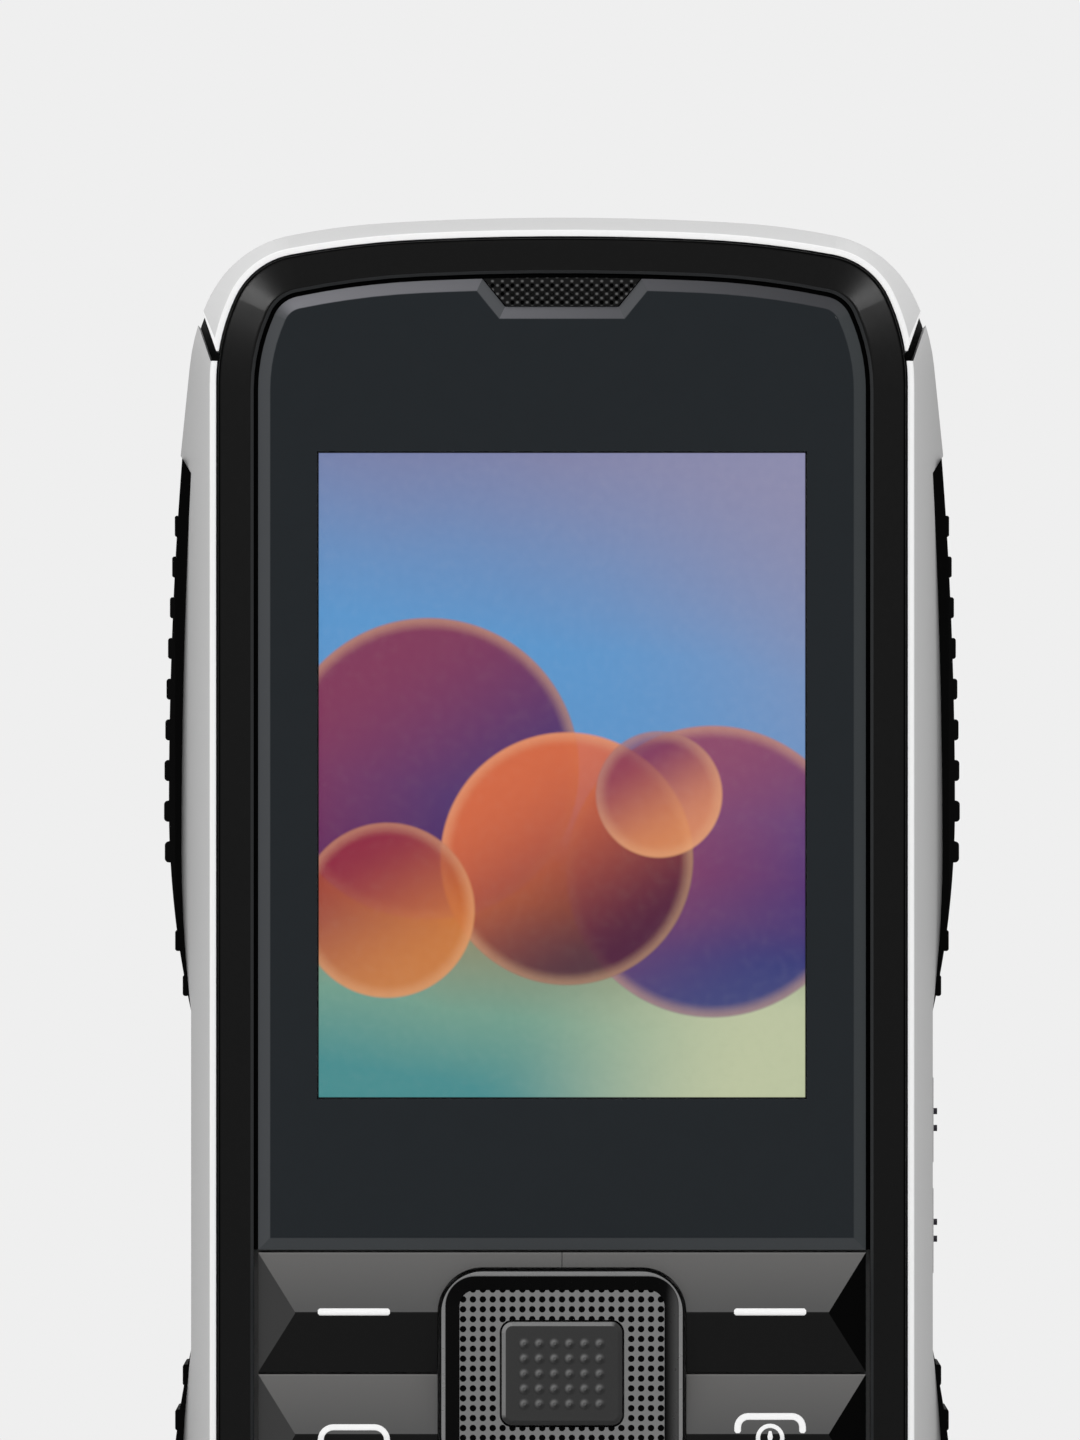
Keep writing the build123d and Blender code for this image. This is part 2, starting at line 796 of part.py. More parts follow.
# Front housing: the black shell with the bezel, the lens seat and the keypad opening
with BuildPart() as front_housing:
    with BuildSketch(front_plane(front_split)):
        add(bezel_face)
    extrude(amount=front_split - bezel_front)
    front_face = front_housing.faces().sort_by(Axis.Y)[0]
    chamfer(front_face.edges(), length=bezel_slope_width, length2=bezel_slope_depth, reference=front_face)
    slope_back = bezel_front + bezel_slope_depth
    slope_edges = front_housing.edges().filter_by(
        lambda edge: abs(edge.center().Y - slope_back) < bezel_slope_depth / 3)
    fillet(slope_edges, radius=bezel_round)
    with BuildSketch(front_plane(front_split)):
        add(bezel_face)
        offset(amount=-side_wall)
    extrude(amount=front_split - front_wall_back, mode=Mode.SUBTRACT)
    with BuildSketch(front_plane(lens_back + lens_seat_gap)):
        add(lens_face)
        offset(amount=lens_clearance)
    extrude(amount=lens_thickness + overrun, mode=Mode.SUBTRACT)
    with BuildSketch(front_plane(bezel_front + bezel_lip)):
        add(lens_face)
        offset(amount=lens_clearance)
        with Locations((0, (lens_bottom + opening_bottom) / 2)):
            Rectangle(2 * opening_half_width, lens_bottom - opening_bottom)
    extrude(amount=bezel_lip, taper=-bezel_lip_turn, mode=Mode.SUBTRACT)
    with BuildSketch(front_plane(front_wall_back)):
        with Locations((0, display_middle)):
            Rectangle(display_width + panel_margin, display_height + panel_margin)
        with Locations((0, (lens_bottom + opening_bottom) / 2)):
            Rectangle(2 * opening_half_width, lens_bottom - opening_bottom)
        with Locations((0, lens_top - notch_depth / 2)):
            SlotOverall(sound_slot_width, sound_slot_height)
        with Locations((0, microphone_z)):
            Circle(microphone_hole_radius)
    extrude(amount=front_wall + overrun, mode=Mode.SUBTRACT)
    with BuildSketch(front_plane(board_front)):
        with Locations(screw_places):
            Circle(boss_radius)
    extrude(amount=board_front - front_wall_back)
    with BuildSketch(front_plane(board_front)):
        with Locations(screw_places):
            Circle(screw_radius)
    extrude(amount=board_front - front_wall_back, mode=Mode.SUBTRACT)
    with BuildSketch(Plane.YZ.offset(bezel_half_width - 2 * side_wall)):
        # These openings run back to the split, so that the keys drop in from behind
        with Locations([(volume_key_y + volume_key_depth / 2, z) for z in volume_key_places]):
            Rectangle(2 * volume_key_depth + 2 * volume_key_clearance,
                      volume_key_length + 2 * volume_key_clearance)
    extrude(amount=2 * overrun, mode=Mode.SUBTRACT)
    add(end_cuts, mode=Mode.SUBTRACT)
save(front_housing, "front_housing")

# Lens with a bevel round its front edge and a notch for the earpiece
with BuildPart() as display_lens:
    with BuildSketch(front_plane(lens_front + lens_bevel_depth)):
        add(lens_face)
        add(notch_outline(0), mode=Mode.SUBTRACT)
    extrude(amount=lens_bevel_depth - lens_thickness)
    bevel_turn = degrees(atan2(lens_bevel_width, lens_bevel_depth))
    with BuildSketch(front_plane(lens_front + lens_bevel_depth)):
        add(lens_face)
        add(notch_outline(0), mode=Mode.SUBTRACT)
    extrude(amount=lens_bevel_depth, taper=bevel_turn)
save(display_lens, "display_lens")

# Earpiece grille that fills the notch, with staggered round holes
grille_rows = int(notch_depth / grille_hole_rise) - 1
grille_front = bezel_front + grille_setback
with BuildPart() as earpiece_grille:
    with BuildSketch(front_plane(grille_front + grille_thickness)):
        add(notch_outline(-grille_clearance))
        add(lens_face, mode=Mode.INTERSECT)
    extrude(amount=grille_thickness)
    with BuildSketch(front_plane(grille_front + grille_thickness)):
        for row in range(grille_rows):
            row_z = lens_top - notch_depth + (row + 1) * grille_hole_rise
            widening = (notch_top_half_width - notch_bottom_half_width) * row / grille_rows
            reach = notch_bottom_half_width + widening
            steps = int((reach - grille_hole_pitch / 2) / grille_hole_pitch)
            shift = grille_hole_pitch / 2 * (row % 2)
            with Locations([(step * grille_hole_pitch + shift, row_z) for step in range(-steps, steps + 1)]):
                Circle(grille_hole_radius)
    extrude(amount=grille_thickness, mode=Mode.SUBTRACT)
save(earpiece_grille, "earpiece_grille")

# Display panel in its metal frame, with the flex that reaches the board
panel_width = display_width + 2 * panel_margin
panel_top = display_top + panel_margin
panel_bottom = display_bottom - panel_driver_margin
panel_middle = (panel_top + panel_bottom) / 2
panel_height = panel_top - panel_bottom
frame_front = front_wall_back + frame_clearance
panel_front = frame_front + frame_front_wall
frame_back = board_front - frame_clearance
panel_back = frame_back - frame_back_wall
with BuildPart() as lcd_frame:
    with BuildSketch(front_plane(frame_back)):
        with Locations((0, panel_middle)):
            Rectangle(panel_width + 2 * frame_wall, panel_height + 2 * frame_wall)
    extrude(amount=frame_back - frame_front)
    with BuildSketch(front_plane(panel_back)):
        with Locations((0, panel_middle)):
            Rectangle(panel_width, panel_height)
    extrude(amount=panel_back - panel_front, mode=Mode.SUBTRACT)
    with BuildSketch(front_plane(panel_front)):
        with Locations((0, display_middle)):
            Rectangle(display_width + panel_margin, display_height + panel_margin)
    extrude(amount=frame_front_wall, mode=Mode.SUBTRACT)
save(lcd_frame, "lcd_frame")

with BuildPart() as lcd_panel:
    with BuildSketch(front_plane(panel_back)):
        with Locations((0, panel_middle)):
            Rectangle(panel_width, panel_height)
    extrude(amount=panel_back - panel_front)
save(lcd_panel, "lcd_panel")

flex_top = panel_bottom - frame_wall - frame_clearance
with BuildPart() as lcd_flex:
    with BuildSketch(front_plane(board_front)):
        with Locations((0, flex_top)):
            Rectangle(flex_width, flex_length, align=(Align.CENTER, Align.MAX))
    extrude(amount=flex_thickness)
    with BuildSketch(front_plane(board_front)):
        with Locations((0, flex_top - flex_length)):
            Rectangle(connector_width, connector_height, align=(Align.CENTER, Align.MIN))
    extrude(amount=connector_depth)
save(lcd_flex, "lcd_flex")


# Keys: each row is one long bar with a ridge and hipped ends, cut into its keys
def ridged_bar(low, high):
    """A full-width key bar whose front rises from its four edges to a level ridge."""
    middle = (low + high) / 2
    with BuildPart() as bar:
        with BuildSketch(front_plane(key_back)):
            with Locations((0, middle)):
                Rectangle(2 * key_half_width, high - low)
        extrude(amount=key_back - key_edge)
        with BuildSketch(front_plane(key_edge)):
            with Locations((0, middle)):
                Rectangle(2 * key_half_width, high - low)
        with BuildSketch(front_plane(key_ridge)):
            with Locations((0, middle)):
                Rectangle(2 * (key_half_width - hip_length), ridge_width)
        loft(ruled=True)
    return bar.part


def key_stem(x, z):
    """A round stem from the back of a key to just in front of its dome."""
    with BuildPart() as stem:
        with BuildSketch(front_plane(stem_tip)):
            with Locations((x, z)):
                Circle(stem_radius)
        extrude(amount=stem_tip - key_back)
    return stem.part


def function_key(name, row_top, side):
    """A soft key, call key or end key: half a bar with the navigation key's corner cut out."""
    low = row_top - function_pitch + key_gap
    middle = (low + row_top) / 2
    with BuildPart() as key:
        add(ridged_bar(low, row_top))
        with BuildSketch(front_plane(key_back)):
            with Locations((side * (key_half_width + split_key_gap) / 2, middle)):
                Rectangle(key_half_width, function_pitch)
            with Locations((0, nav_z)):
                RectangleRounded(nav_width + 2 * nav_gap, nav_height + 2 * nav_gap, nav_radius + nav_gap,
                                 mode=Mode.SUBTRACT)
        extrude(amount=key_back - key_ridge, mode=Mode.INTERSECT)
        add(key_stem(side * function_stem_x, middle))
    save(key, name)


function_key("left_softkey", function_row_tops[0], -1)
function_key("right_softkey", function_row_tops[0], 1)
function_key("call_key", function_row_tops[1], -1)
function_key("end_key", function_row_tops[1], 1)

number_names = (("key_1", "key_2", "key_3"), ("key_4", "key_5", "key_6"),
                ("key_7", "key_8", "key_9"), ("key_star", "key_0", "key_hash"))
number_key_places = []
for row in range(number_rows):
    row_high = number_top - row * number_pitch
    row_low = row_high - number_pitch + key_gap
    row_middle = (row_high + row_low) / 2
    row_bar = ridged_bar(row_low, row_high)
    for column in range(number_columns):
        key_x = (column - (number_columns - 1) / 2) * column_pitch
        number_key_places.append((key_x, row_middle))
        with BuildPart() as number_key:
            add(row_bar)
            with BuildSketch(front_plane(key_back)):
                with Locations((key_x, row_middle)):
                    Rectangle(column_pitch - key_gap, number_pitch)
            extrude(amount=key_back - key_ridge, mode=Mode.INTERSECT)
            add(key_stem(key_x, row_middle))
        save(number_key, number_names[row][column])

function_middles = [top - (function_pitch - key_gap) / 2 for top in function_row_tops]
function_stem_places = [(side * function_stem_x, z) for z in function_middles for side in (-1, 1)]

# Navigation key: a rim that holds the dotted plate, the select key and the tilting carrier
rim_back = nav_front + nav_depth
plate_front = nav_front + plate_setback
plate_back = plate_front + plate_thickness


def select_opening():
    """The rounded hole that the select key stands in."""
    with Locations((0, nav_z)):
        RectangleRounded(select_width + 2 * select_gap, select_height + 2 * select_gap,
                         select_radius + select_gap, mode=Mode.SUBTRACT)


with BuildPart() as nav_rim:
    with BuildSketch(front_plane(rim_back)):
        with Locations((0, nav_z)):
            RectangleRounded(nav_width, nav_height, nav_radius)
        select_opening()
    extrude(amount=nav_depth)
    with BuildSketch(front_plane(plate_back)):
        with Locations((0, nav_z)):
            RectangleRounded(plate_width, plate_height, plate_radius)
    extrude(amount=plate_back - plate_front, mode=Mode.SUBTRACT)
    rim_slope_width = (nav_width - plate_width) / 2 - rim_line_width
    with BuildSketch(front_plane(plate_front)):
        with Locations((0, nav_z)):
            RectangleRounded(plate_width, plate_height, plate_radius)
    extrude(amount=plate_setback, taper=-degrees(atan2(rim_slope_width, plate_setback)), mode=Mode.SUBTRACT)
    chamfer(nav_rim.faces().sort_by(Axis.Y)[0].outer_wire().edges(), length=rim_chamfer)
    with BuildSketch(front_plane(stem_tip)):
        with Locations(nav_stem_places):
            Circle(nav_stem_radius)
    extrude(amount=stem_tip - rim_back)
save(nav_rim, "nav_rim")

with BuildPart() as nav_plate:
    with BuildSketch(front_plane(plate_back)):
        with Locations((0, nav_z)):
            RectangleRounded(plate_width, plate_height, plate_radius)
        select_opening()
    extrude(amount=plate_thickness)
    dimple_columns = 2 * int(plate_width / 2 / dimple_pitch) + 1
    dimple_rows = 2 * ceil(plate_height / 2 / dimple_pitch)
    dimple_places = []
    for column in range(dimple_columns):
        for row in range(dimple_rows):
            dimple_x = (column - (dimple_columns - 1) / 2) * dimple_pitch
            dimple_z = (row - (dimple_rows - 1) / 2) * dimple_pitch
            beside = abs(dimple_x) > select_width / 2 + select_gap
            above_or_below = abs(dimple_z) > select_height / 2 + select_gap
            if beside or above_or_below:
                dimple_places.append((dimple_x, nav_z + dimple_z))
    with BuildSketch(front_plane(plate_front + dimple_depth)):
        with Locations(dimple_places):
            Circle(dimple_radius)
    extrude(amount=dimple_depth, mode=Mode.SUBTRACT)
save(nav_plate, "nav_plate")

with BuildPart() as select_key:
    select_front = nav_front + pip_height
    with BuildSketch(front_plane(rim_back)):
        with Locations((0, nav_z)):
            RectangleRounded(select_width, select_height, select_radius)
    extrude(amount=rim_back - select_front)
    select_face = select_key.faces().sort_by(Axis.Y)[0]
    chamfer(select_face.edges(), length=select_chamfer, length2=select_chamfer_depth, reference=select_face)
    with BuildSketch(front_plane(select_front)):
        with Locations((0, nav_z)):
            with GridLocations(pip_pitch, pip_pitch, pip_columns, pip_rows):
                Circle(pip_radius)
    extrude(amount=pip_height, taper=pip_flank)
    with BuildSketch(front_plane(stem_tip)):
        with Locations((0, nav_z)):
            Circle(stem_radius)
    extrude(amount=stem_tip - rim_back)
save(select_key, "select_key")

gimbal_front = rim_back + gimbal_gap
with BuildPart() as nav_gimbal:
    with BuildSketch(front_plane(gimbal_front + gimbal_thickness)):
        with Locations((0, nav_z)):
            RectangleRounded(gimbal_width, gimbal_height, gimbal_radius)
            RectangleRounded(select_width + 2 * gimbal_window_gap, select_height + 2 * gimbal_window_gap,
                             select_radius + gimbal_window_gap, mode=Mode.SUBTRACT)
    extrude(amount=gimbal_thickness)
    with BuildSketch(front_plane(stem_tip)):
        with Locations(gimbal_stem_places):
            Circle(nav_stem_radius)
    extrude(amount=stem_tip - gimbal_front - gimbal_thickness)
save(nav_gimbal, "nav_gimbal")

# Keypad mat behind the keys: its thick border sits against the front wall
key_stem_places = function_stem_places + number_key_places + [(0, nav_z)]
with BuildPart() as keypad_mat:
    with BuildSketch(front_plane(mat_back)):
        with Locations((0, mat_middle)):
            Rectangle(2 * mat_half_width, mat_top - mat_bottom)
    extrude(amount=mat_back - front_wall_back)
    with BuildSketch(front_plane(mat_front)):
        with Locations((0, mat_middle)):
            Rectangle(2 * (mat_half_width - mat_rim_width), mat_top - mat_bottom - 2 * mat_rim_width)
    extrude(amount=mat_front - front_wall_back, mode=Mode.SUBTRACT)
    with BuildSketch(front_plane(mat_back)):
        add(bezel_face)
        offset(amount=-side_wall - mat_gap)
    extrude(amount=mat_back - front_wall_back, mode=Mode.INTERSECT)
    with BuildSketch(front_plane(mat_back)):
        with Locations(key_stem_places):
            Circle(stem_radius + stem_clearance)
        with Locations(nav_stem_places + gimbal_stem_places):
            Circle(nav_stem_radius + nav_stem_clearance)
    extrude(amount=mat_thickness, mode=Mode.SUBTRACT)
save(keypad_mat, "keypad_mat")

dome_places = key_stem_places + nav_stem_places + gimbal_stem_places
with BuildPart() as dome_sheet:
    with BuildSketch(front_plane(board_front)):
        with Locations((0, mat_middle)):
            Rectangle(2 * (mat_half_width - mat_margin), mat_top - mat_bottom - 2 * mat_margin)
        with Locations(screw_places):
            Circle(boss_radius + screw_clearance, mode=Mode.SUBTRACT)
    extrude(amount=dome_sheet_thickness)
    dome_turn = degrees(atan2(dome_radius - dome_top_radius, dome_height))
    with BuildSketch(front_plane(board_front - dome_sheet_thickness)):
        with Locations(dome_places):
            Circle(dome_radius)
    extrude(amount=dome_height, taper=dome_turn)
save(dome_sheet, "dome_sheet")

# Main board and what is soldered to it
with BuildPart() as main_board:
    with BuildSketch(front_plane(board_back)):
        add(bezel_face)
        offset(amount=-side_wall - board_edge_gap)
        with Locations(screw_places):
            Circle(screw_radius + screw_clearance, mode=Mode.SUBTRACT)
    extrude(amount=board_thickness)
save(main_board, "main_board")


def shield_can(name, x, bottom, width, tall):
    """A folded metal can, open towards the board."""
    with BuildPart() as can:
        with BuildSketch(front_plane(board_back + can_depth)):
            with Locations((x, bottom)):
                Rectangle(width, tall, align=(Align.CENTER, Align.MIN))
        extrude(amount=can_depth)
        with BuildSketch(front_plane(board_back + can_depth - can_wall)):
            with Locations((x, bottom + can_wall)):
                Rectangle(width - 2 * can_wall, tall - 2 * can_wall, align=(Align.CENTER, Align.MIN))
        extrude(amount=can_depth - can_wall, mode=Mode.SUBTRACT)
    save(can, name)


shield_can("processor_shield", 0, height - processor_drop - processor_height / 2,
           processor_width, processor_height)
shield_can("radio_shield", radio_x, radio_bottom, radio_width, radio_height)

with BuildPart() as sim_sockets:
    for side in (-1, 1):
        with BuildSketch(front_plane(board_back + sim_depth)):
            with Locations((side * sim_x, sim_bottom)):
                Rectangle(sim_width, sim_height, align=(Align.CENTER, Align.MIN))
        extrude(amount=sim_depth)
        with BuildSketch(front_plane(board_back + (sim_depth + sim_slot_height) / 2)):
            with Locations((side * sim_x, sim_bottom)):
                Rectangle(sim_width - 2 * sim_wall, sim_height - sim_wall, align=(Align.CENTER, Align.MIN))
        extrude(amount=sim_slot_height, mode=Mode.SUBTRACT)
save(sim_sockets, "sim_sockets")

with BuildPart() as memory_card_socket:
    with BuildSketch(front_plane(board_back + sim_depth)):
        with Locations((0, card_bottom)):
            Rectangle(card_width, card_height, align=(Align.CENTER, Align.MIN))
    extrude(amount=sim_depth)
    with BuildSketch(front_plane(board_back + (sim_depth + sim_slot_height) / 2)):
        with Locations((0, card_bottom)):
            Rectangle(card_width - 2 * sim_wall, card_height - sim_wall, align=(Align.CENTER, Align.MIN))
    extrude(amount=sim_slot_height, mode=Mode.SUBTRACT)
save(memory_card_socket, "memory_card_socket")

# Rear housing: skirt inside the band, flange behind it, plateau under the cover, and the battery bay
bay_floor_front = board_back + bay_floor_room
bay_floor_back = bay_floor_front + bay_floor_thickness
bay_width = battery_width + 2 * battery_clearance
bay_height = battery_height + 2 * battery_clearance
battery_middle = battery_bottom + battery_height / 2
cavity_back = plateau_back - rear_wall
camera_z = height - camera_drop
speaker_z = height - speaker_drop
contact_bottom = battery_middle + bay_height / 2 + bay_wall + blade_gap
head_seat = board_back + screw_seat_depth
with BuildPart() as rear_housing:
    with BuildSketch(front_plane(flange_front)):
        add(bezel_face)
    extrude(amount=flange_front - rear_split)
    with BuildSketch(front_plane(flange_back)):
        add(case_face)
    extrude(amount=flange_thickness)
    with BuildSketch(front_plane(plateau_back)):
        add(cover_face)
        offset(amount=-cover_wall - cover_clearance)
    extrude(amount=plateau_back - flange_back)
    with BuildSketch(front_plane(cavity_back)):
        add(bezel_face)
        offset(amount=-side_wall)
    extrude(amount=cavity_back - rear_split, mode=Mode.SUBTRACT)
    with BuildSketch(front_plane(cavity_back)):
        with Locations((0, battery_middle)):
            Rectangle(bay_width + 2 * bay_wall, bay_height + 2 * bay_wall)
    extrude(amount=cavity_back - bay_floor_front)
    with BuildSketch(front_plane(cavity_back)):
        with Locations(screw_places):
            Circle(column_radius)
    extrude(amount=cavity_back - board_back)
    with BuildSketch(front_plane(plateau_back)):
        with Locations((0, battery_middle)):
            Rectangle(bay_width, bay_height)
    extrude(amount=plateau_back - bay_floor_back, mode=Mode.SUBTRACT)
    with BuildSketch(front_plane(bay_floor_back)):
        for side in (-1, 1):
            with Locations((side * sim_x, sim_bottom - bay_window_margin)):
                Rectangle(sim_width - 2 * bay_window_margin, sim_height, align=(Align.CENTER, Align.MIN))
        with Locations((0, card_bottom - bay_window_margin)):
            Rectangle(card_width - 2 * bay_window_margin, card_height, align=(Align.CENTER, Align.MIN))
    extrude(amount=bay_floor_thickness, mode=Mode.SUBTRACT)
    with BuildSketch(front_plane(board_back + contact_depth)):
        with Locations((0, contact_bottom)):
            Rectangle(blade_count * blade_pitch, 2 * (bay_wall + blade_gap))
    extrude(amount=contact_depth, mode=Mode.SUBTRACT)
    with BuildSketch(front_plane(plateau_back)):
        with Locations(screw_places):
            Circle(screw_radius + screw_clearance)
    extrude(amount=plateau_back - board_back + overrun, mode=Mode.SUBTRACT)
    with BuildSketch(front_plane(plateau_back)):
        with Locations(screw_places):
            Circle(screw_head_radius + screw_clearance)
        with Locations((0, camera_z)):
            Circle(camera_barrel_radius + camera_hole_clearance)
        with Locations((0, speaker_z)):
            with GridLocations(0, slot_pitch, 1, slot_count):
                SlotOverall(slot_length, slot_width)
    extrude(amount=plateau_back - head_seat, mode=Mode.SUBTRACT)
    add(end_cuts, mode=Mode.SUBTRACT)
save(rear_housing, "rear_housing")

with BuildPart() as housing_screws:
    with BuildSketch(front_plane(head_seat)):
        with Locations(screw_places):
            Circle(screw_radius)
    extrude(amount=screw_length)
    with BuildSketch(front_plane(head_seat + screw_head_height)):
        with Locations(screw_places):
            Circle(screw_head_radius)
    extrude(amount=screw_head_height)
    with BuildSketch(front_plane(head_seat + screw_head_height)):
        with Locations(screw_places):
            Rectangle(2 * screw_radius, screw_slot_width)
            Rectangle(screw_slot_width, 2 * screw_radius)
    extrude(amount=screw_slot_depth, mode=Mode.SUBTRACT)
save(housing_screws, "housing_screws")

battery_front = bay_floor_back + battery_clearance
battery_back = cover_inner - battery_back_gap
with BuildPart() as battery:
    with BuildSketch(front_plane(battery_back)):
        with Locations((0, battery_middle)):
            Rectangle(battery_width, battery_height)
    extrude(amount=battery_back - battery_front)
    fillet(battery.edges().filter_by(Axis.Z), radius=battery_round)
save(battery, "battery")

with BuildPart() as battery_contacts:
    with BuildSketch(front_plane(board_back + contact_depth)):
        with Locations((0, contact_bottom)):
            Rectangle(contact_width, contact_height, align=(Align.CENTER, Align.MIN))
    extrude(amount=contact_depth)
    with BuildSketch(front_plane(battery_front + blade_thickness)):
        with Locations((0, contact_bottom)):
            with GridLocations(blade_pitch, 0, blade_count, 1):
                Rectangle(blade_width, bay_wall + battery_clearance, align=(Align.CENTER, Align.MAX))
    extrude(amount=blade_thickness)
save(battery_contacts, "battery_contacts")

# Battery cover: a shallow dish over the whole back, with the camera window and the sound slots
with BuildPart() as battery_cover:
    with BuildSketch(front_plane(back_face)):
        add(cover_face)
    extrude(amount=cover_depth)
    fillet(battery_cover.faces().sort_by(Axis.Y)[-1].edges(), radius=cover_round)
    with BuildSketch(front_plane(cover_inner)):
        add(cover_face)
        offset(amount=-cover_wall)
    extrude(amount=cover_inner - cover_front, mode=Mode.SUBTRACT)
    with BuildSketch(front_plane(back_face)):
        with Locations((0, speaker_z)):
            with GridLocations(0, slot_pitch, 1, slot_count):
                SlotOverall(slot_length, slot_width)
        with Locations((0, camera_z)):
            Circle(window_hole_radius)
    extrude(amount=cover_wall, mode=Mode.SUBTRACT)
    with BuildSketch(front_plane(back_face)):
        with Locations((0, camera_z)):
            Circle(window_radius)
    extrude(amount=window_thickness + window_setback, mode=Mode.SUBTRACT)
    with BuildSketch(front_plane(back_face)):
        with Locations((0, groove_rise + (groove_count - 1) * groove_pitch / 2)):
            with GridLocations(0, groove_pitch, 1, groove_count):
                SlotOverall(groove_length, groove_width)
    extrude(amount=groove_depth, mode=Mode.SUBTRACT)
    with BuildSketch(front_plane(back_face)):
        with Locations((0, thumb_rise)):
            SlotOverall(thumb_width, thumb_height)
    extrude(amount=thumb_depth, mode=Mode.SUBTRACT)
save(battery_cover, "battery_cover")

with BuildPart() as camera_window:
    with BuildSketch(front_plane(back_face - window_setback)):
        with Locations((0, camera_z)):
            Circle(window_radius)
    extrude(amount=window_thickness)
save(camera_window, "camera_window")

camera_front_end = board_back + camera_base_depth
with BuildPart() as camera_module:
    with BuildSketch(front_plane(camera_front_end)):
        with Locations((0, camera_z)):
            Rectangle(camera_size, camera_size)
    extrude(amount=camera_base_depth)
    with BuildSketch(front_plane(plateau_back)):
        with Locations((0, camera_z)):
            Circle(camera_barrel_radius)
    extrude(amount=plateau_back - camera_front_end)
    with BuildSketch(front_plane(plateau_back)):
        with Locations((0, camera_z)):
            Circle(camera_pupil_radius)
    extrude(amount=camera_pupil_depth, mode=Mode.SUBTRACT)
save(camera_module, "camera_module")

with BuildPart() as loudspeaker:
    with BuildSketch(front_plane(cavity_back)):
        with Locations((0, speaker_z)):
            RectangleRounded(speaker_width, speaker_height, speaker_round)
    extrude(amount=speaker_depth)
    with BuildSketch(front_plane(cavity_back)):
        with Locations((0, speaker_z)):
            RectangleRounded(speaker_width - 2 * speaker_rim, speaker_height - 2 * speaker_rim, speaker_rim)
    extrude(amount=speaker_recess, mode=Mode.SUBTRACT)
save(loudspeaker, "loudspeaker")

with BuildPart() as vibration_motor:
    with BuildSketch(front_plane(board_back + motor_thickness)):
        with Locations((motor_x, height - motor_drop)):
            Circle(motor_radius)
    extrude(amount=motor_thickness)
save(vibration_motor, "vibration_motor")

antenna_front = board_back + jack_body_depth + antenna_jack_gap
antenna_back = cavity_back - antenna_gap
with BuildPart() as antenna:
    with BuildSketch(front_plane(antenna_back)):
        with Locations((antenna_x, antenna_bottom)):
            Rectangle(antenna_width, antenna_height, align=(Align.CENTER, Align.MIN))
    extrude(amount=antenna_back - antenna_front)
save(antenna, "antenna")

receiver_back = board_front - receiver_gap
with BuildPart() as earpiece_speaker:
    with BuildSketch(front_plane(receiver_back)):
        with Locations((0, height - receiver_drop)):
            RectangleRounded(receiver_width, receiver_height, receiver_round)
    extrude(amount=receiver_back - front_wall_back)
save(earpiece_speaker, "earpiece_speaker")

with BuildPart() as microphone:
    with BuildSketch(front_plane(board_front)):
        with Locations((0, microphone_z)):
            Circle(microphone_radius)
    extrude(amount=microphone_depth)
save(microphone, "microphone")

# Torch in the top end
top_radius = crown_radius(corner_half_width, *case_crown)
torch_surface = height - top_radius + sqrt(top_radius * top_radius - torch_x * torch_x)
torch_bottom = torch_surface - torch_length
with BuildPart() as torch_lens:
    with BuildSketch(Plane.XY.offset(torch_bottom)):
        with Locations((torch_x, torch_y)):
            Circle(torch_radius)
    extrude(amount=torch_length - torch_proud)
    chamfer(torch_lens.faces().sort_by(Axis.Z)[-1].edges(), length=torch_dome)
save(torch_lens, "torch_lens")

with BuildPart() as torch_led:
    with BuildSketch(front_plane(board_back + torch_led_size)):
        with Locations((torch_x, torch_bottom - torch_led_gap)):
            Rectangle(torch_led_size, torch_led_height, align=(Align.CENTER, Align.MAX))
    extrude(amount=torch_led_size)
save(torch_led, "torch_led")

# Sockets in the bottom end
with BuildPart() as usb_port:
    with BuildSketch(Plane.XY.offset(usb_recess)):
        with Locations((usb_x, usb_y)):
            Rectangle(usb_width, usb_depth)
            Rectangle(usb_width - 2 * usb_wall, usb_depth - 2 * usb_wall, mode=Mode.SUBTRACT)
    extrude(amount=usb_length)
    with BuildSketch(Plane.XY.offset(usb_recess + usb_length - usb_wall)):
        with Locations((usb_x, usb_y)):
            Rectangle(usb_width - usb_wall, usb_depth - usb_wall)
    extrude(amount=usb_wall)
    with BuildSketch(Plane.XY.offset(usb_recess + usb_wall)):
        with Locations((usb_x, usb_y)):
            Rectangle(usb_tongue_width, usb_tongue_depth)
    extrude(amount=usb_length - 2 * usb_wall)
save(usb_port, "usb_port")

jack_body_bottom = bezel_bottom_height + side_wall + usb_clearance
with BuildPart() as audio_jack:
    with BuildSketch(Plane.XY.offset(jack_recess)):
        with Locations((jack_x, jack_y)):
            Circle(jack_nose_radius)
    extrude(amount=jack_body_bottom - jack_recess)
    with BuildSketch(Plane.XY.offset(jack_body_bottom)):
        with Locations((jack_x, jack_y)):
            Rectangle(jack_width, jack_body_depth)
    extrude(amount=jack_body_length)
    with BuildSketch(Plane.XY.offset(jack_recess)):
        with Locations((jack_x, jack_y)):
            Circle(jack_bore_radius)
    extrude(amount=jack_bore_length, mode=Mode.SUBTRACT)
save(audio_jack, "audio_jack")

# Volume keys and their switches at the right edge of the board
for key_name, key_z in zip(("volume_up_key", "volume_down_key"), volume_key_places):
    with BuildPart() as volume_key:
        with BuildSketch(Plane.YZ.offset(volume_key_root)):
            with Locations((volume_key_y, key_z)):
                Rectangle(volume_key_depth, volume_key_length)
        extrude(amount=volume_key_reach)
        with BuildSketch(Plane.YZ.offset(volume_key_end)):
            with Locations((volume_key_y, key_z)):
                with GridLocations(0, nub_spacing, 1, 2):
                    Circle(nub_radius)
        extrude(amount=nub_height)
    save(volume_key, key_name)

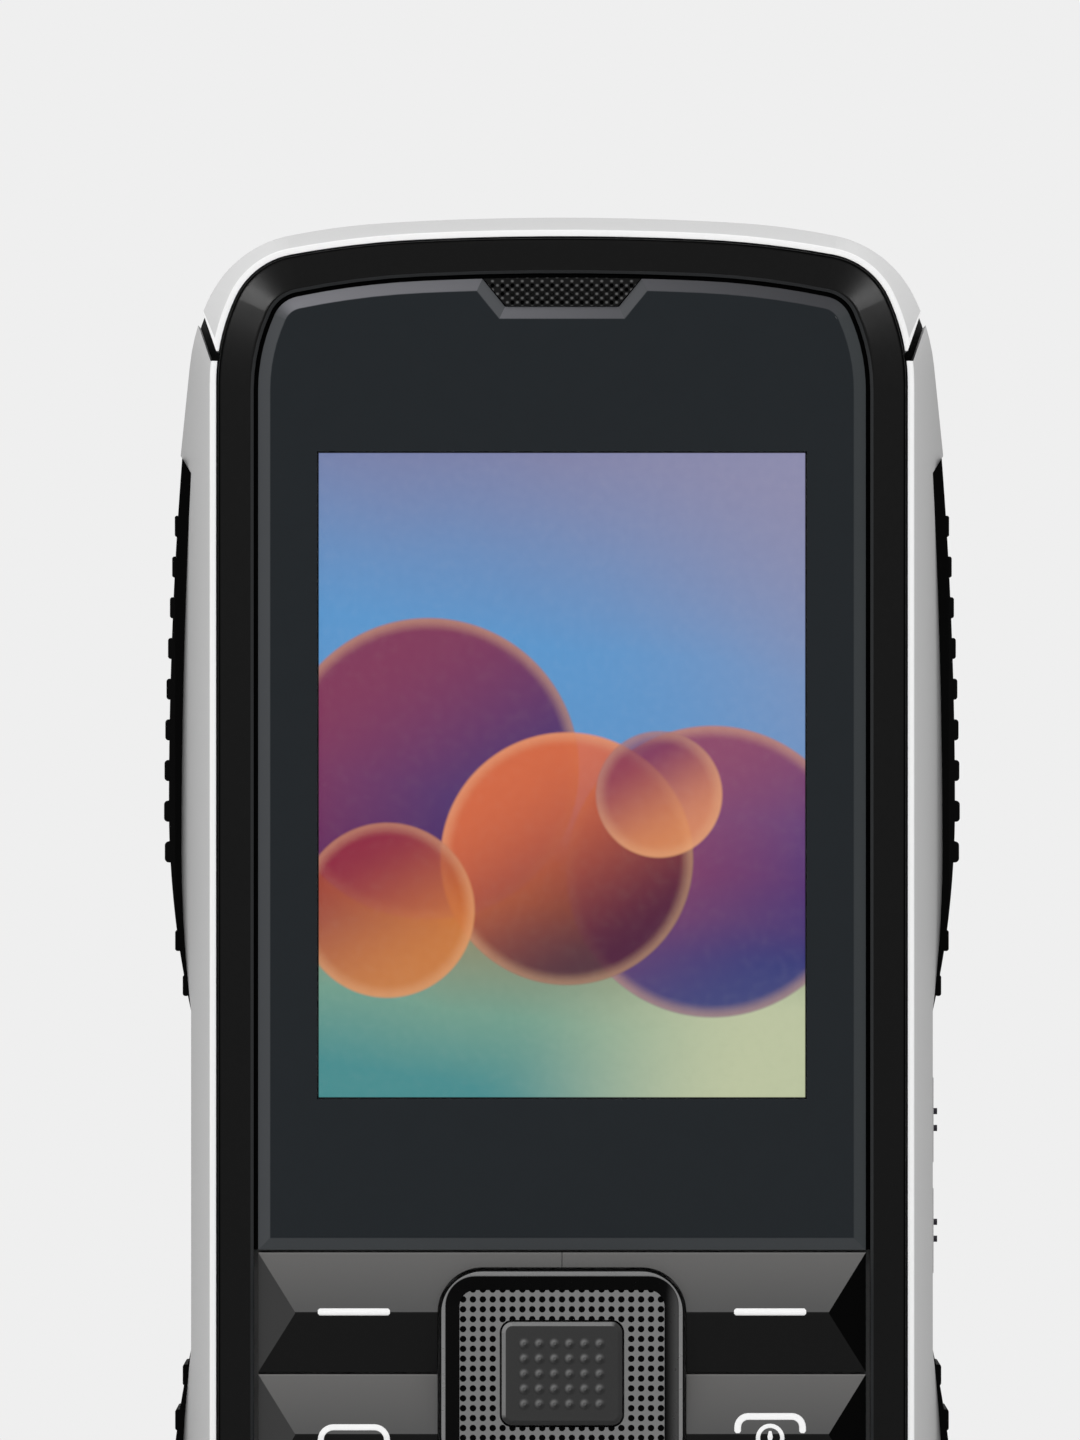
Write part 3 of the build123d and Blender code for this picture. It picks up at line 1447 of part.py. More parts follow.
with BuildPart() as side_switches:
    for key_z in volume_key_places:
        with BuildSketch(front_plane(board_back + switch_depth)):
            with Locations((switch_edge - switch_plunger_length, key_z)):
                Rectangle(switch_body, switch_length, align=(Align.MAX, Align.CENTER))
        extrude(amount=switch_depth)
        with BuildSketch(Plane.YZ.offset(switch_edge - switch_plunger_length)):
            with Locations((board_back + switch_depth / 2, key_z)):
                Circle(switch_plunger_radius)
        extrude(amount=switch_plunger_length)
save(side_switches, "side_switches")
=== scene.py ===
# %% [markdown]
# # A rugged feature phone
# The phone is already built as solids, so this lesson dresses it: every solid gets a finish of its own,
# the keys get their printed signs, and a plain studio is put round it. Making the solids again in
# Blender would lose their exact sizes, so they are loaded as a fixed frame and only their materials
# change.

# %% The frame
from math import cos, pi, radians, sin

import bmesh
import bpy
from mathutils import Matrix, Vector
from mathutils.bvhtree import BVHTree


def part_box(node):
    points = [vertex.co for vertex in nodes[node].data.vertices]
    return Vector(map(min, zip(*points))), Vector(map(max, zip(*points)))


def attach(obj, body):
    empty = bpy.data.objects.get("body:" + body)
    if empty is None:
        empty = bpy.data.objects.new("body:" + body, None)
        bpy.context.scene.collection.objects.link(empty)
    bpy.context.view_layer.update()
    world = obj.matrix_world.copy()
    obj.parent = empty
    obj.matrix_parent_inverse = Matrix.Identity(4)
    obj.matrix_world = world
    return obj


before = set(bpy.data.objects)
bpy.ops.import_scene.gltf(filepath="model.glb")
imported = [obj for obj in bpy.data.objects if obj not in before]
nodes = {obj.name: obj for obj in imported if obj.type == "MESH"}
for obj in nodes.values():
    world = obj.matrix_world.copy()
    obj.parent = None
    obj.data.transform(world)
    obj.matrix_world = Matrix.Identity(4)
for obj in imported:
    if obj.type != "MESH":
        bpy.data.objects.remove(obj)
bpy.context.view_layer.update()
MM = 0.001

# %% [markdown]
# ## A way to write shader maths
# A pattern such as a stripe or a ring is a formula. Placing each Math node by hand hides that formula,
# so one small class wraps a socket and turns plus, minus and times into nodes. The formula then reads
# as it would on paper.


# %% Values in a shader
class Value:
    """One output of a node. Sums and products of it add their Math nodes."""

    def __init__(self, paint, socket):
        self.paint = paint
        self.socket = socket

    def maths(self, operation, *inputs):
        return self.paint.node("ShaderNodeMath", {"operation": operation}, dict(enumerate(inputs)))

    def __add__(self, other):
        return self.maths("ADD", self, other)

    def __sub__(self, other):
        return self.maths("SUBTRACT", self, other)

    def __rsub__(self, other):
        return self.maths("SUBTRACT", other, self)

    def __mul__(self, other):
        return self.maths("MULTIPLY", self, other)

    def __truediv__(self, other):
        return self.maths("DIVIDE", self, other)

    def __mod__(self, other):
        return self.maths("FLOORED_MODULO", self, other)

    def __pow__(self, other):
        return self.maths("POWER", self, other)

    def __abs__(self):
        return self.maths("ABSOLUTE", self)

    def sine(self):
        return self.maths("SINE", self)

    def least(self, other):
        return self.maths("MINIMUM", self, other)

    def most(self, other):
        return self.maths("MAXIMUM", self, other)

    def rise(self, low, high):
        """0 below low and 1 above high, with a smooth step between. With low over high it falls instead."""
        return self.paint.node(
            "ShaderNodeMapRange", {"interpolation_type": "SMOOTHSTEP"},
            {"Value": self, "From Min": low, "From Max": high})

    __radd__ = __add__
    __rmul__ = __mul__


# %% [markdown]
# ## A material under construction
# Each finish starts from the Principled shader. What is the same all over goes on the shader's own
# sockets, and what changes over the surface is fed in. All nodes come from one method, so a finish is a
# few lines long.


# %% Paints
class Paint:
    """A material under construction."""

    def __init__(self, name, constants):
        self.material = bpy.data.materials.new(name)
        self.material.use_nodes = True
        self.tree = self.material.node_tree
        self.shader = self.tree.nodes["Principled BSDF"]
        for socket, value in constants.items():
            self.shader.inputs[socket].default_value = value
        self.place = None

    def node(self, kind, settings=None, inputs=None, output=0):
        made = self.tree.nodes.new(kind)
        for name, value in (settings or {}).items():
            if name == "stops":
                ramp = made.color_ramp.elements
                while len(ramp) < len(value):
                    ramp.new(1.0)
                for element, (position, colour) in zip(ramp, value):
                    element.position = position
                    element.color = colour
            else:
                setattr(made, name, value)
        for name, value in (inputs or {}).items():
            if isinstance(value, Value):
                self.tree.links.new(value.socket, made.inputs[name])
            else:
                made.inputs[name].default_value = value
        return Value(self, made.outputs[output])

    def coordinates(self):
        """The place on the object, in millimetres, as a vector and as x, y and z."""
        if self.place is None:
            spot = self.node("ShaderNodeTexCoord", output="Object")
            self.place = self.node("ShaderNodeVectorMath", {"operation": "SCALE"}, {0: spot, "Scale": 1 / MM})
            split = self.node("ShaderNodeSeparateXYZ", inputs={0: self.place})
            self.axes = [Value(self, socket) for socket in split.socket.node.outputs]
        return self.place, *self.axes

    def along_axes(self):
        """The place on the object, in millimetres, as x, y and z."""
        return self.coordinates()[1:]

    def facing(self):
        """The direction that the surface faces, as x, y and z."""
        normal = self.node("ShaderNodeTexCoord", output="Normal")
        split = self.node("ShaderNodeSeparateXYZ", inputs={0: normal})
        return [Value(self, socket) for socket in split.socket.node.outputs]

    def stretched(self, scale):
        """The place with each axis scaled, for a pattern that is longer one way."""
        return self.node("ShaderNodeMapping", {"vector_type": "POINT"},
                         {"Vector": self.coordinates()[0], "Scale": scale})

    def noise(self, scale, detail=2.0, roughness=0.5, vector=None):
        """Smooth noise from 0 to 1, with scale waves to the millimetre."""
        return self.node(
            "ShaderNodeTexNoise", None,
            {"Vector": vector or self.coordinates()[0], "Scale": scale, "Detail": detail,
             "Roughness": roughness})

    def mix(self, first, second, share):
        """From the first colour to the second as share goes from 0 to 1."""
        return self.node("ShaderNodeMix", {"data_type": "RGBA"}, {0: share, 6: first, 7: second}, 2)

    def feed(self, socket, value):
        self.tree.links.new(value.socket, self.shader.inputs[socket])

    def relief(self, height, depth, edge=0.06, samples=4):
        """Edges softened by a hair, and a relief: height goes from 0 to 1, and depth is in millimetres."""
        rounded = self.node("ShaderNodeBevel", {"samples": samples}, {"Radius": edge * MM})
        if height is not None:
            rounded = self.node(
                "ShaderNodeBump", None,
                {"Strength": 1.0, "Distance": depth * MM, "Height": height, "Normal": rounded})
        self.feed("Normal", rounded)

    def dress(self, *names):
        for name in names:
            solid = nodes[name]
            if solid.material_slots:
                solid.material_slots[0].material = self.material
            else:
                solid.data.materials.append(self.material)


def grey(level, warmth=0.0):
    """A grey, with a little red added and blue taken away by warmth."""
    return (level * (1 + warmth), level, level * (1 - warmth), 1.0)


# %% [markdown]
# ## The silver band
# Four pieces go round the phone: a cap at each end and a rail on each side. They are satin silver paint
# on plastic. The pure white strip along the front edge, beside the black bezel, is a painted highlight
# of a polished edge. The strip is flat in the solid and the rest slopes away, so the strip is found by its
# depth. The caps carry the same painted highlight as a line beside the slits that part them from the
# rails. Painted shade makes the paint darker towards the outside, the slopes that face diagonally get a
# painted highlight, and the caps get a lighter tone than the rails, as painted light from above. A little
# fine noise in the colour and the roughness keeps the paint from looking like a plain fill.

# %% Silver paint
BAND_FRONT = -7.25
SLIT_FOOT = (26.05, 127.84)
SLIT_LEAN = radians(23.2)
SLIT_LINE = 0.22
SLIT_REACH = 1.0
SHADE_DEPTH = 3.0


def band_paint(name, tone, fall, slit_highlight):
    """Silver paint of one tone, with painted shade darker by fall towards the outside. The last argument is 1
    for the painted highlight line at the slits.
    """
    paint = Paint(name, {"Roughness": 0.42, "Metallic": 0.0, "Specular IOR Level": 0.35, "Coat Weight": 0.12,
                         "Coat Roughness": 0.25})
    x, y, z = paint.along_axes()
    face_x, _, face_z = paint.facing()
    flakes = paint.noise(9.0, 3.0)
    cloud = paint.noise(0.06, 1.0)
    # Painted shade: darker towards the outside, where the paint slopes away from the front.
    shade = ((y - BAND_FRONT) / SHADE_DEPTH).least(1.0) * fall
    # Painted highlight on slopes that face diagonally, such as the corners of the caps.
    painted_slope_highlight = abs(face_x * face_z).rise(0.02, 0.2) * 0.26
    silver = paint.mix(grey(tone * 0.97), grey(tone * 1.03), flakes * 0.5 + cloud * 0.5)
    silver = paint.mix(silver, grey(tone * 0.4), shade)
    silver = paint.mix(silver, grey(0.95), painted_slope_highlight)
    # Painted highlight: the white strip along the front edge and, on the caps, the line beside the slits.
    painted_strip_highlight = y.rise(BAND_FRONT + 0.1, BAND_FRONT + 0.03)
    from_slit = (abs(x) - SLIT_FOOT[0]) * cos(SLIT_LEAN) - (z - SLIT_FOOT[1]) * sin(SLIT_LEAN)
    beside_slit = from_slit.rise(-SLIT_LINE - 0.05, -SLIT_LINE)
    up_to_slit = z.rise(SLIT_FOOT[1] - SLIT_REACH, SLIT_FOOT[1] - SLIT_REACH + 0.1)
    painted_strip_highlight = painted_strip_highlight.most(beside_slit * up_to_slit * slit_highlight)
    paint.feed("Base Color", paint.mix(silver, grey(0.98), painted_strip_highlight))
    paint.feed("Roughness", 0.36 + flakes * 0.14)
    paint.relief(flakes, 0.002, 0.08)
    return paint


# The caps get a lighter tone and less painted shade than the rails, as painted light from above.
band_paint("cap_silver", 0.63, 0.2, 1.0).dress("top_cap", "bottom_cap")
band_paint("rail_silver", 0.52, 0.5, 0.0).dress("left_rail", "right_rail")
print("band pieces dressed: 4")

# %% [markdown]
# ## The black front
# The bezel is moulded black plastic with a polished face. Polished plastic is never quite even, so a
# very shallow, wide wave in its relief bends the reflections a little. Its specular level is low,
# because a high one would turn the black grey in a pale studio. The lip round the opening gets a painted
# highlight, so it is a little lighter, and the walls deep in the gaps get painted shade: near black and
# metallic, so that they reflect next to nothing.

# %% Polished black
BEZEL_LIP_BACK = -7.65
BEZEL_SIDE = -7.58
bezel = Paint("black_gloss", {"Specular IOR Level": 0.115})
dust = bezel.noise(2.2, 4.0, 0.6)
_, y, _ = bezel.along_axes()
_, face_y, _ = bezel.facing()
# Painted highlight on the lip round the opening, and painted shade on the walls deep in the gaps.
lip = abs(face_y).rise(0.85, 0.78) * y.rise(BEZEL_LIP_BACK - 0.01, BEZEL_LIP_BACK - 0.03)
in_shade = y.rise(BEZEL_SIDE, BEZEL_SIDE + 0.025)
black = bezel.mix(bezel.mix(grey(0.0012), grey(0.0024), dust), grey(0.026, -0.05), lip)
bezel.feed("Base Color", bezel.mix(black, grey(0.0003), in_shade))
bezel.feed("Metallic", in_shade * 0.9)
bezel.feed("Roughness", 0.15 + dust * 0.05)
bezel.relief(bezel.noise(0.12, 1.0), 0.004, 0.1)
bezel.dress("front_housing")

# %% [markdown]
# ## Grips
# Four soft rubber strips with rounded ribs fill shallow recesses in the sides. Rubber is rough and very
# dark, with a fine grain that only shows close up, so the grain is a small relief and the colour hardly
# changes. The faces that point straight out to the sides get painted light, a shade lighter, so that
# the ribs show their shading in views from the side.

# %% Rubber
rubber = Paint("grip_rubber", {"Specular IOR Level": 0.03})
grain = rubber.noise(14.0, 3.0, 0.7)
face_x, _, _ = rubber.facing()
# Painted light: faces that point straight out to the sides are a shade lighter.
painted_side_light = abs(face_x).rise(0.75, 1.0) * (0.6 + grain * 0.4)
rubber.feed("Base Color", rubber.mix(rubber.mix(grey(0.0002), grey(0.0008), grain), grey(0.022), painted_side_light))
rubber.feed("Roughness", 0.55 + grain * 0.25)
rubber.relief(grain, 0.012, 0.15)
rubber.dress("upper_left_grip", "upper_right_grip", "lower_left_grip", "lower_right_grip")
print("grips dressed: 4")

# %% [markdown]
# ## The display window
# One clear sheet covers the display. Its border is printed blue-black on the back, and only the window
# over the picture is clear. A second sheet for the print would be thinner than a hair, so the print is
# the opaque part of the sheet's own material. The ground bevel round the edge gets painted light: it is
# painted lighter than the face, and it lies deeper, so depth finds it. The painted light is brightest on
# the top of the bevel at the upper left, on the side of the main lamp, and the sides that face right
# are painted darker than those that face left.

# %% Window glass
LENS_FRONT = -7.7
PICTURE_HALF_WIDTH = 18.36
PICTURE_HALF_HEIGHT = 24.33
PICTURE_MIDDLE = 95.85
PICTURE_MARGIN = 0.12
WINDOW_HALF_WIDTH = PICTURE_HALF_WIDTH + PICTURE_MARGIN
WINDOW_HALF_HEIGHT = PICTURE_HALF_HEIGHT + PICTURE_MARGIN
PRINT_BLEND = 0.03
BEVEL_DARK_X = 20.0
BEVEL_LIGHT_RUN = 42.0

glass = Paint("lens_glass", {"Roughness": 0.06, "Specular IOR Level": 0.2, "IOR": 1.5})
x, y, z = glass.along_axes()
inside = (abs(x).rise(WINDOW_HALF_WIDTH + PRINT_BLEND, WINDOW_HALF_WIDTH)
          * abs(z - PICTURE_MIDDLE).rise(WINDOW_HALF_HEIGHT + PRINT_BLEND, WINDOW_HALF_HEIGHT))
face_x, _, face_z = glass.facing()
ground = y.rise(LENS_FRONT + 0.01, LENS_FRONT + 0.03)
cloth = glass.noise(0.5, 3.0)
ink = glass.mix((0.0048, 0.0082, 0.0112, 1.0), (0.0062, 0.0096, 0.0128, 1.0), cloth)
# Painted light on the ground bevel: lighter on the sides that face left and on the top towards the left.
painted_bevel_side_light = glass.mix((0.030, 0.035, 0.038, 1.0), (0.052, 0.056, 0.061, 1.0), face_x.rise(0.1, -0.1))
leftward = ((BEVEL_DARK_X - x) / BEVEL_LIGHT_RUN).most(0.0) ** 1.3
painted_bevel_top_light = glass.mix((0.040, 0.041, 0.046, 1.0), (0.196, 0.196, 0.214, 1.0), leftward)
painted_bevel_light = glass.mix(painted_bevel_side_light, painted_bevel_top_light, face_z.rise(0.09, 0.21))
glass.feed("Base Color", glass.mix(ink, painted_bevel_light, ground))
glass.feed("Roughness", 0.05 + ground * 0.2 + cloth * 0.03)
glass.feed("Alpha", 1.0 - inside * 0.95)
glass.relief(None, 0.0, 0.05)
glass.dress("display_lens")
print("picture area in mm:", PICTURE_HALF_WIDTH * 2, "by", PICTURE_HALF_HEIGHT * 2)

# %% [markdown]
# ## The picture
# The lit panel shows a generic picture: overlapping discs over a soft change of colour. An image file
# would do, but a picture written as formulas stays sharp at any size. Each disc is a distance from a
# centre, with a shade across it. A faint speckle over the whole keeps the wide areas from looking
# empty.

# %% Lit panel
panel = Paint("lcd_picture", {"Base Color": grey(0.002), "Roughness": 0.25, "Specular IOR Level": 0.2,
                              "Emission Strength": 1.0})
x, _, z = panel.along_axes()
across = x / PICTURE_HALF_WIDTH
up = (z - PICTURE_MIDDLE) / PICTURE_HALF_HEIGHT


def shown(red, green, blue):
    """A colour as a screen states it, from 0 to 255, for a shader that works in linear light."""
    return tuple((c / 255) ** 2.2 for c in (red, green, blue)) + (1.0,)


swell = panel.noise(0.05, 2.0)
height_share = up * 0.5 + 0.5 + across * 0.05 + (swell - 0.5) * 0.12
picture = panel.node("ShaderNodeValToRGB", {"stops": [
    (0.0, shown(74, 142, 144)), (0.12, shown(116, 160, 142)), (0.23, shown(142, 142, 112)),
    (0.29, shown(208, 142, 62)), (0.36, shown(196, 110, 70)), (0.46, shown(96, 150, 205)),
    (0.7, shown(92, 152, 208)), (1.0, shown(124, 130, 170))]}, {"Fac": height_share})
haze = panel.mix(picture, shown(148, 146, 178), (across * 0.5 + up * 0.5).rise(0.1, 1.1) * 0.8)
sand = (across * 0.8 - up * 0.3).rise(0.0, 0.9) * up.rise(-0.5, -0.75)
picture = panel.mix(haze, shown(192, 200, 164), sand)
discs = [
    (-0.55, 0.02, 0.62, shown(44, 36, 108), shown(132, 44, 78), 0.95),
    (0.62, -0.30, 0.60, shown(34, 38, 120), shown(146, 62, 92), 0.92),
    (0.02, -0.26, 0.52, shown(78, 20, 52), shown(222, 108, 62), 0.92),
    (-0.72, -0.42, 0.36, shown(214, 120, 50), shown(150, 40, 56), 0.85),
    (0.40, -0.06, 0.26, shown(236, 150, 96), shown(120, 40, 90), 0.75),
]
for centre_x, centre_z, size, low, high, strength in discs:
    aside = across - centre_x
    above = (up - centre_z) * (PICTURE_HALF_HEIGHT / PICTURE_HALF_WIDTH)
    distance = (aside * aside + above * above) ** 0.5
    shade = (above - aside * 0.6).rise(-size, size)
    cover = distance.rise(size + 0.008, size - 0.008) * strength
    picture = panel.mix(picture, panel.mix(low, high, shade), cover)
    picture = panel.mix(picture, shown(246, 196, 150), distance.rise(size - 0.06, size) * cover * 0.35)
speckle = panel.noise(1.4, 4.0, 0.65)
picture = panel.mix(picture, shown(24, 24, 60), (speckle - 0.5).most(0.0) * 0.14)
picture = panel.mix(picture, shown(246, 236, 214), (0.5 - speckle).most(0.0) * 0.08)
lit = abs(across).rise(1.004, 1.0) * abs(up).rise(1.003, 1.0)
panel.feed("Emission Color", panel.mix(grey(0.0), picture, lit))
panel.dress("lcd_panel")
print("discs in the picture:", len(discs))

# %% [markdown]
# ## Key caps
# The caps are faceted dark plastic. Light alone gives too little contrast on facets this flat, so the
# tone is painted light and shade by the way that each facet faces: the upper facets a lighter satin grey,
# lightest towards their top edge, the lower ones nearly black, and the hips at the outer ends mid grey
# on the left and black on the right.

# %% Key plastic
KEY_EDGE = -7.4
KEY_RIDGE = -8.3

caps = Paint("key_plastic", {"Specular IOR Level": 0.12})
_, y, _ = caps.along_axes()
face_x, _, face_z = caps.facing()
grain = caps.noise(7.0, 4.0, 0.6)
# Painted light and shade by facing: upper facets lighter, lower facets nearly black, left hips mid grey,
# right hips black and metallic.
upward = face_z.rise(0.02, 0.12)
left_hip = face_x.rise(-0.1, -0.2)
right_hip = face_x.rise(0.1, 0.2)
from_ridge = (y - KEY_RIDGE) / (KEY_EDGE - KEY_RIDGE)
# Painted light on the upper facets, lightest towards their top edge.
upper = caps.mix(grey(0.082), grey(0.128, 0.02), from_ridge * 0.95 + grain * 0.08)
# Painted highlight along the top edge of the upper facets.
upper = caps.mix(upper, grey(0.15, 0.02), from_ridge.rise(0.96, 0.98))
lower = caps.mix(grey(0.0022), grey(0.004), grain)
tone = caps.mix(lower, upper, upward)
tone = caps.mix(tone, grey(0.040), left_hip)
tone = caps.mix(tone, grey(0.0008), right_hip)
caps.feed("Base Color", tone)
caps.feed("Metallic", right_hip * 0.85)
caps.feed("Roughness", 0.36 + grain * 0.12)
caps.relief(grain, 0.003, 0.07)
number_keys = [f"key_{mark}" for mark in ("1", "2", "3", "4", "5", "6", "7", "8", "9", "star", "0", "hash")]
function_keys = ["left_softkey", "right_softkey", "call_key", "end_key"]
caps.dress(*number_keys, *function_keys)
print("keys dressed:", len(number_keys) + len(function_keys))

# %% [markdown]
# ## The navigation key
# A dark chrome frame holds a grey plate with a grid of small dimples, and the select key in its middle
# has a field of raised pips. The frame's front edge gets a painted highlight, and its inner slope on the
# right, which faces the main lamp, is painted lighter. The dimples and pips are real in the solids, so
# the finish paints shade into what lies deep and light onto what stands proud. The pips are too small
# to show their shade from afar, so each one gets painted light on the side that faces up and to the
# left and painted shade on the other side. The chamfer of the select key gets a painted highlight where
# it faces up and to the left. The pips are too small to show
# their shade from afar, so each one is lighter on the side that faces up and to the left.

# %% Navigation key
NAV_FRONT = -8.6
PLATE_FRONT = -8.2
SELECT_FACE = -8.44
PIP_RISE = 0.13
RIM_WIDTH = 18.41
RIM_SHEEN = (1.45, 0.4)

chrome = Paint("dark_chrome", {"Metallic": 0.5, "Specular IOR Level": 0.1})
x, y, _ = chrome.along_axes()
face_x, _, _ = chrome.facing()
smear = chrome.noise(1.5, 3.0)
# Painted highlight along the front edge of the frame.
line = y.rise(NAV_FRONT + 0.03, NAV_FRONT + 0.01)
# Painted light on the frame's right inner slope, which faces left towards the main lamp.
right_slope = face_x.rise(-0.15, -0.3) * y.rise(NAV_FRONT + 0.02, NAV_FRONT + 0.05)
outer = x.rise(RIM_WIDTH / 2 - RIM_SHEEN[0], RIM_WIDTH / 2 - RIM_SHEEN[1])
dark = chrome.mix(grey(0.0008), grey(0.06), right_slope * outer)
chrome.feed("Base Color", chrome.mix(dark, grey(0.21), line))
chrome.feed("Roughness", 0.22 + smear * 0.14)
chrome.relief(None, 0.0, 0.05)
chrome.dress("nav_rim")

plate = Paint("nav_plate_metal", {"Specular IOR Level": 0.3})
_, y, _ = plate.along_axes()
grain = plate.noise(10.0, 4.0, 0.65)
# Painted shade: the inside of each dimple is near black and metallic.
painted_dimple_shade = y.rise(PLATE_FRONT + 0.02, PLATE_FRONT + 0.05)
plate.feed("Base Color", plate.mix(plate.mix(grey(0.14), grey(0.21), grain), grey(0.0003), painted_dimple_shade))
plate.feed("Metallic", 0.1 + painted_dimple_shade * 0.8)
plate.feed("Roughness", 0.4 + grain * 0.2)
plate.relief(grain, 0.004, 0.03)
plate.dress("nav_plate")

select = Paint("select_metal", {"Specular IOR Level": 0.2})
_, y, _ = select.along_axes()
face_x, face_y, face_z = select.facing()
grain = select.noise(10.0, 4.0, 0.65)
up_and_left = face_z - face_x
proud = y.rise(SELECT_FACE - 0.01, SELECT_FACE - PIP_RISE)
chamfer = abs(face_y).rise(0.97, 0.85) * y.rise(SELECT_FACE + 0.01, SELECT_FACE + 0.04)
# Painted highlight on the chamfer where it faces up and to the left.
rim = chamfer * up_and_left.rise(0.2, 0.6)
face = select.mix(grey(0.020), grey(0.030), grain)
# Painted light and shade on the pips: lighter on the side that faces up and to the left, darker on the other.
lit_flank = up_and_left.rise(-0.9, 0.9)
face = select.mix(face, select.mix(grey(0.01), grey(0.15), lit_flank), proud)
select.feed("Base Color", select.mix(face, grey(0.22), rim))
select.feed("Roughness", 0.38 + grain * 0.2)
select.relief(grain, 0.004, 0.10)
select.dress("select_key")
print("navigation key dressed")

# %% [markdown]
# ## The earpiece mesh
# A black pierced sheet sits in the notch above the window. Its holes are real, and the land between
# them carries small grey specks of painted highlight where the weave would shine. The specks follow the
# same grid as the holes, half a step aside.

# %% Mesh
HOLE_PITCH = 0.75
HOLE_RISE = 0.32
FIRST_HOLE_ROW = 131.56
mesh_paint = Paint("grille_mesh", {"Specular IOR Level": 0.1})
x, _, z = mesh_paint.along_axes()
weave_across = (x * (2 * pi / HOLE_PITCH) + pi / 2).sine()
weave_up = ((z - FIRST_HOLE_ROW) * (pi / HOLE_RISE) + pi / 2).sine()
weave = weave_across * weave_up
# Painted highlight: grey specks where the weave would shine.
speck = weave.rise(-0.25, -1.0)
mesh_paint.feed("Base Color", mesh_paint.mix(grey(0.0004), grey(0.10), speck))
mesh_paint.feed("Roughness", 0.45 + speck * 0.1)
mesh_paint.relief(speck, 0.03, 0.03)
mesh_paint.dress("earpiece_grille")

# %% [markdown]
# ## The back
# The back cover and the rear housing are black plastic with a spark-eroded grain, which hides finger
# marks. The grain is fine noise and small cells in the relief. A coarser noise changes the roughness,
# as handling polishes in patches.

# %% Textured black
for name, fine, target in (("cover_plastic", 5.0, "battery_cover"), ("black_satin", 6.5, "rear_housing")):
    satin = Paint(name, {"Specular IOR Level": 0.2})
    coarse = satin.noise(fine * 0.35, 2.0)
    grain = satin.noise(fine, 3.0, 0.6)
    pores = satin.node("ShaderNodeTexVoronoi", {"feature": "F1"},
                       {"Vector": satin.coordinates()[0], "Scale": fine * 0.8})
    satin.feed("Base Color", satin.mix(grey(0.012), grey(0.026), grain))
    satin.feed("Roughness", 0.5 + coarse * 0.2)
    satin.relief(grain * 0.5 + pores * 0.5, 0.03, 0.12)
    satin.dress(target)

# %% [markdown]
# ## Glass on the back, torch and side keys
# The camera window is a dark clear disc with a printed ring. The torch lens is clear, with fine ribs
# that spread the light. The volume keys are grey plastic with small dark nubs.

# %% Small outside parts
CAMERA_Z = 117.5
PUPIL_RADIUS = 1.65
RING_INNER = 2.1
RING_OUTER = 2.6
RING_BLEND = 0.1
LED_PLACE = (-8.7, 1.3)
NUB_ROOT = 28.19

camera_glass = Paint("camera_glass", {"Roughness": 0.04, "Specular IOR Level": 0.5, "Coat Weight": 0.3})
x, _, z = camera_glass.along_axes()
above = z - CAMERA_Z
off_centre = (x * x + above * above) ** 0.5
pupil = off_centre.rise(PUPIL_RADIUS + RING_BLEND, PUPIL_RADIUS)
ring = (off_centre.rise(RING_INNER, RING_INNER + RING_BLEND)
        * off_centre.rise(RING_OUTER, RING_OUTER - RING_BLEND))
camera_glass.feed("Base Color", camera_glass.mix(
    camera_glass.mix(grey(0.006), (0.05, 0.05, 0.09, 1.0), pupil), grey(0.16), ring))
camera_glass.feed("Alpha", 1.0 - pupil * 0.8)
camera_glass.dress("camera_window")

torch = Paint("torch_plastic", {"Specular IOR Level": 0.5, "IOR": 1.49,
                                "Base Color": (0.72, 0.70, 0.80, 1.0)})
x, y, _ = torch.along_axes()
ribs = ((x + y) * 12.0).sine() * 0.5 + 0.5
torch.feed("Roughness", 0.1 + ribs * 0.15)
torch.feed("Alpha", 0.35 + ribs * 0.25)
torch.relief(ribs, 0.03, 0.05)
torch.dress("torch_lens")

lamp = Paint("led_white", {"Roughness": 0.5})
x, y, _ = lamp.along_axes()
chip = abs(x - LED_PLACE[0]).rise(0.6, 0.5) * abs(y - LED_PLACE[1]).rise(0.6, 0.5)
phosphor = lamp.noise(3.0).rise(0.2, 0.6) * 0.4 + chip * 0.5
lamp.feed("Base Color", lamp.mix(grey(0.75), (0.85, 0.68, 0.10, 1.0), phosphor))
lamp.dress("torch_led")

side = Paint("side_key_plastic", {"Specular IOR Level": 0.3})
grain = side.noise(9.0, 3.0)
x, _, _ = side.along_axes()
nub = x.rise(NUB_ROOT, NUB_ROOT + 0.03)
side_body = side.mix(grey(0.46), grey(0.52), grain)
side.feed("Base Color", side.mix(side_body, (0.010, 0.007, 0.016, 1.0), nub))
side.feed("Roughness", 0.35 + grain * 0.15)
side.relief(grain, 0.003, 0.06)
side.dress("volume_up_key", "volume_down_key")
print("outside parts dressed")

# %% [markdown]
# ## Metal and plastic inside
# The shields, the card sockets, the display frame and the dome sheet are thin drawn steel, brushed
# along the sheet. The screws and the motor are plated. Brushing is noise stretched far along one axis,
# in the roughness and the relief.

# %% Steel
sheet = Paint("sheet_steel", {"Metallic": 1.0})
brushed = sheet.noise(6.0, 4.0, 0.6, sheet.stretched((0.06, 1.0, 1.0)))
stain = sheet.noise(0.3, 2.0)
sheet.feed("Base Color", sheet.mix(grey(0.50), grey(0.62, 0.02), brushed * 0.6 + stain * 0.4))
sheet.feed("Roughness", 0.26 + brushed * 0.2)
sheet.relief(brushed, 0.004, 0.06)
sheet.dress("lcd_frame", "dome_sheet", "processor_shield", "radio_shield", "sim_sockets",
            "memory_card_socket", "usb_port")

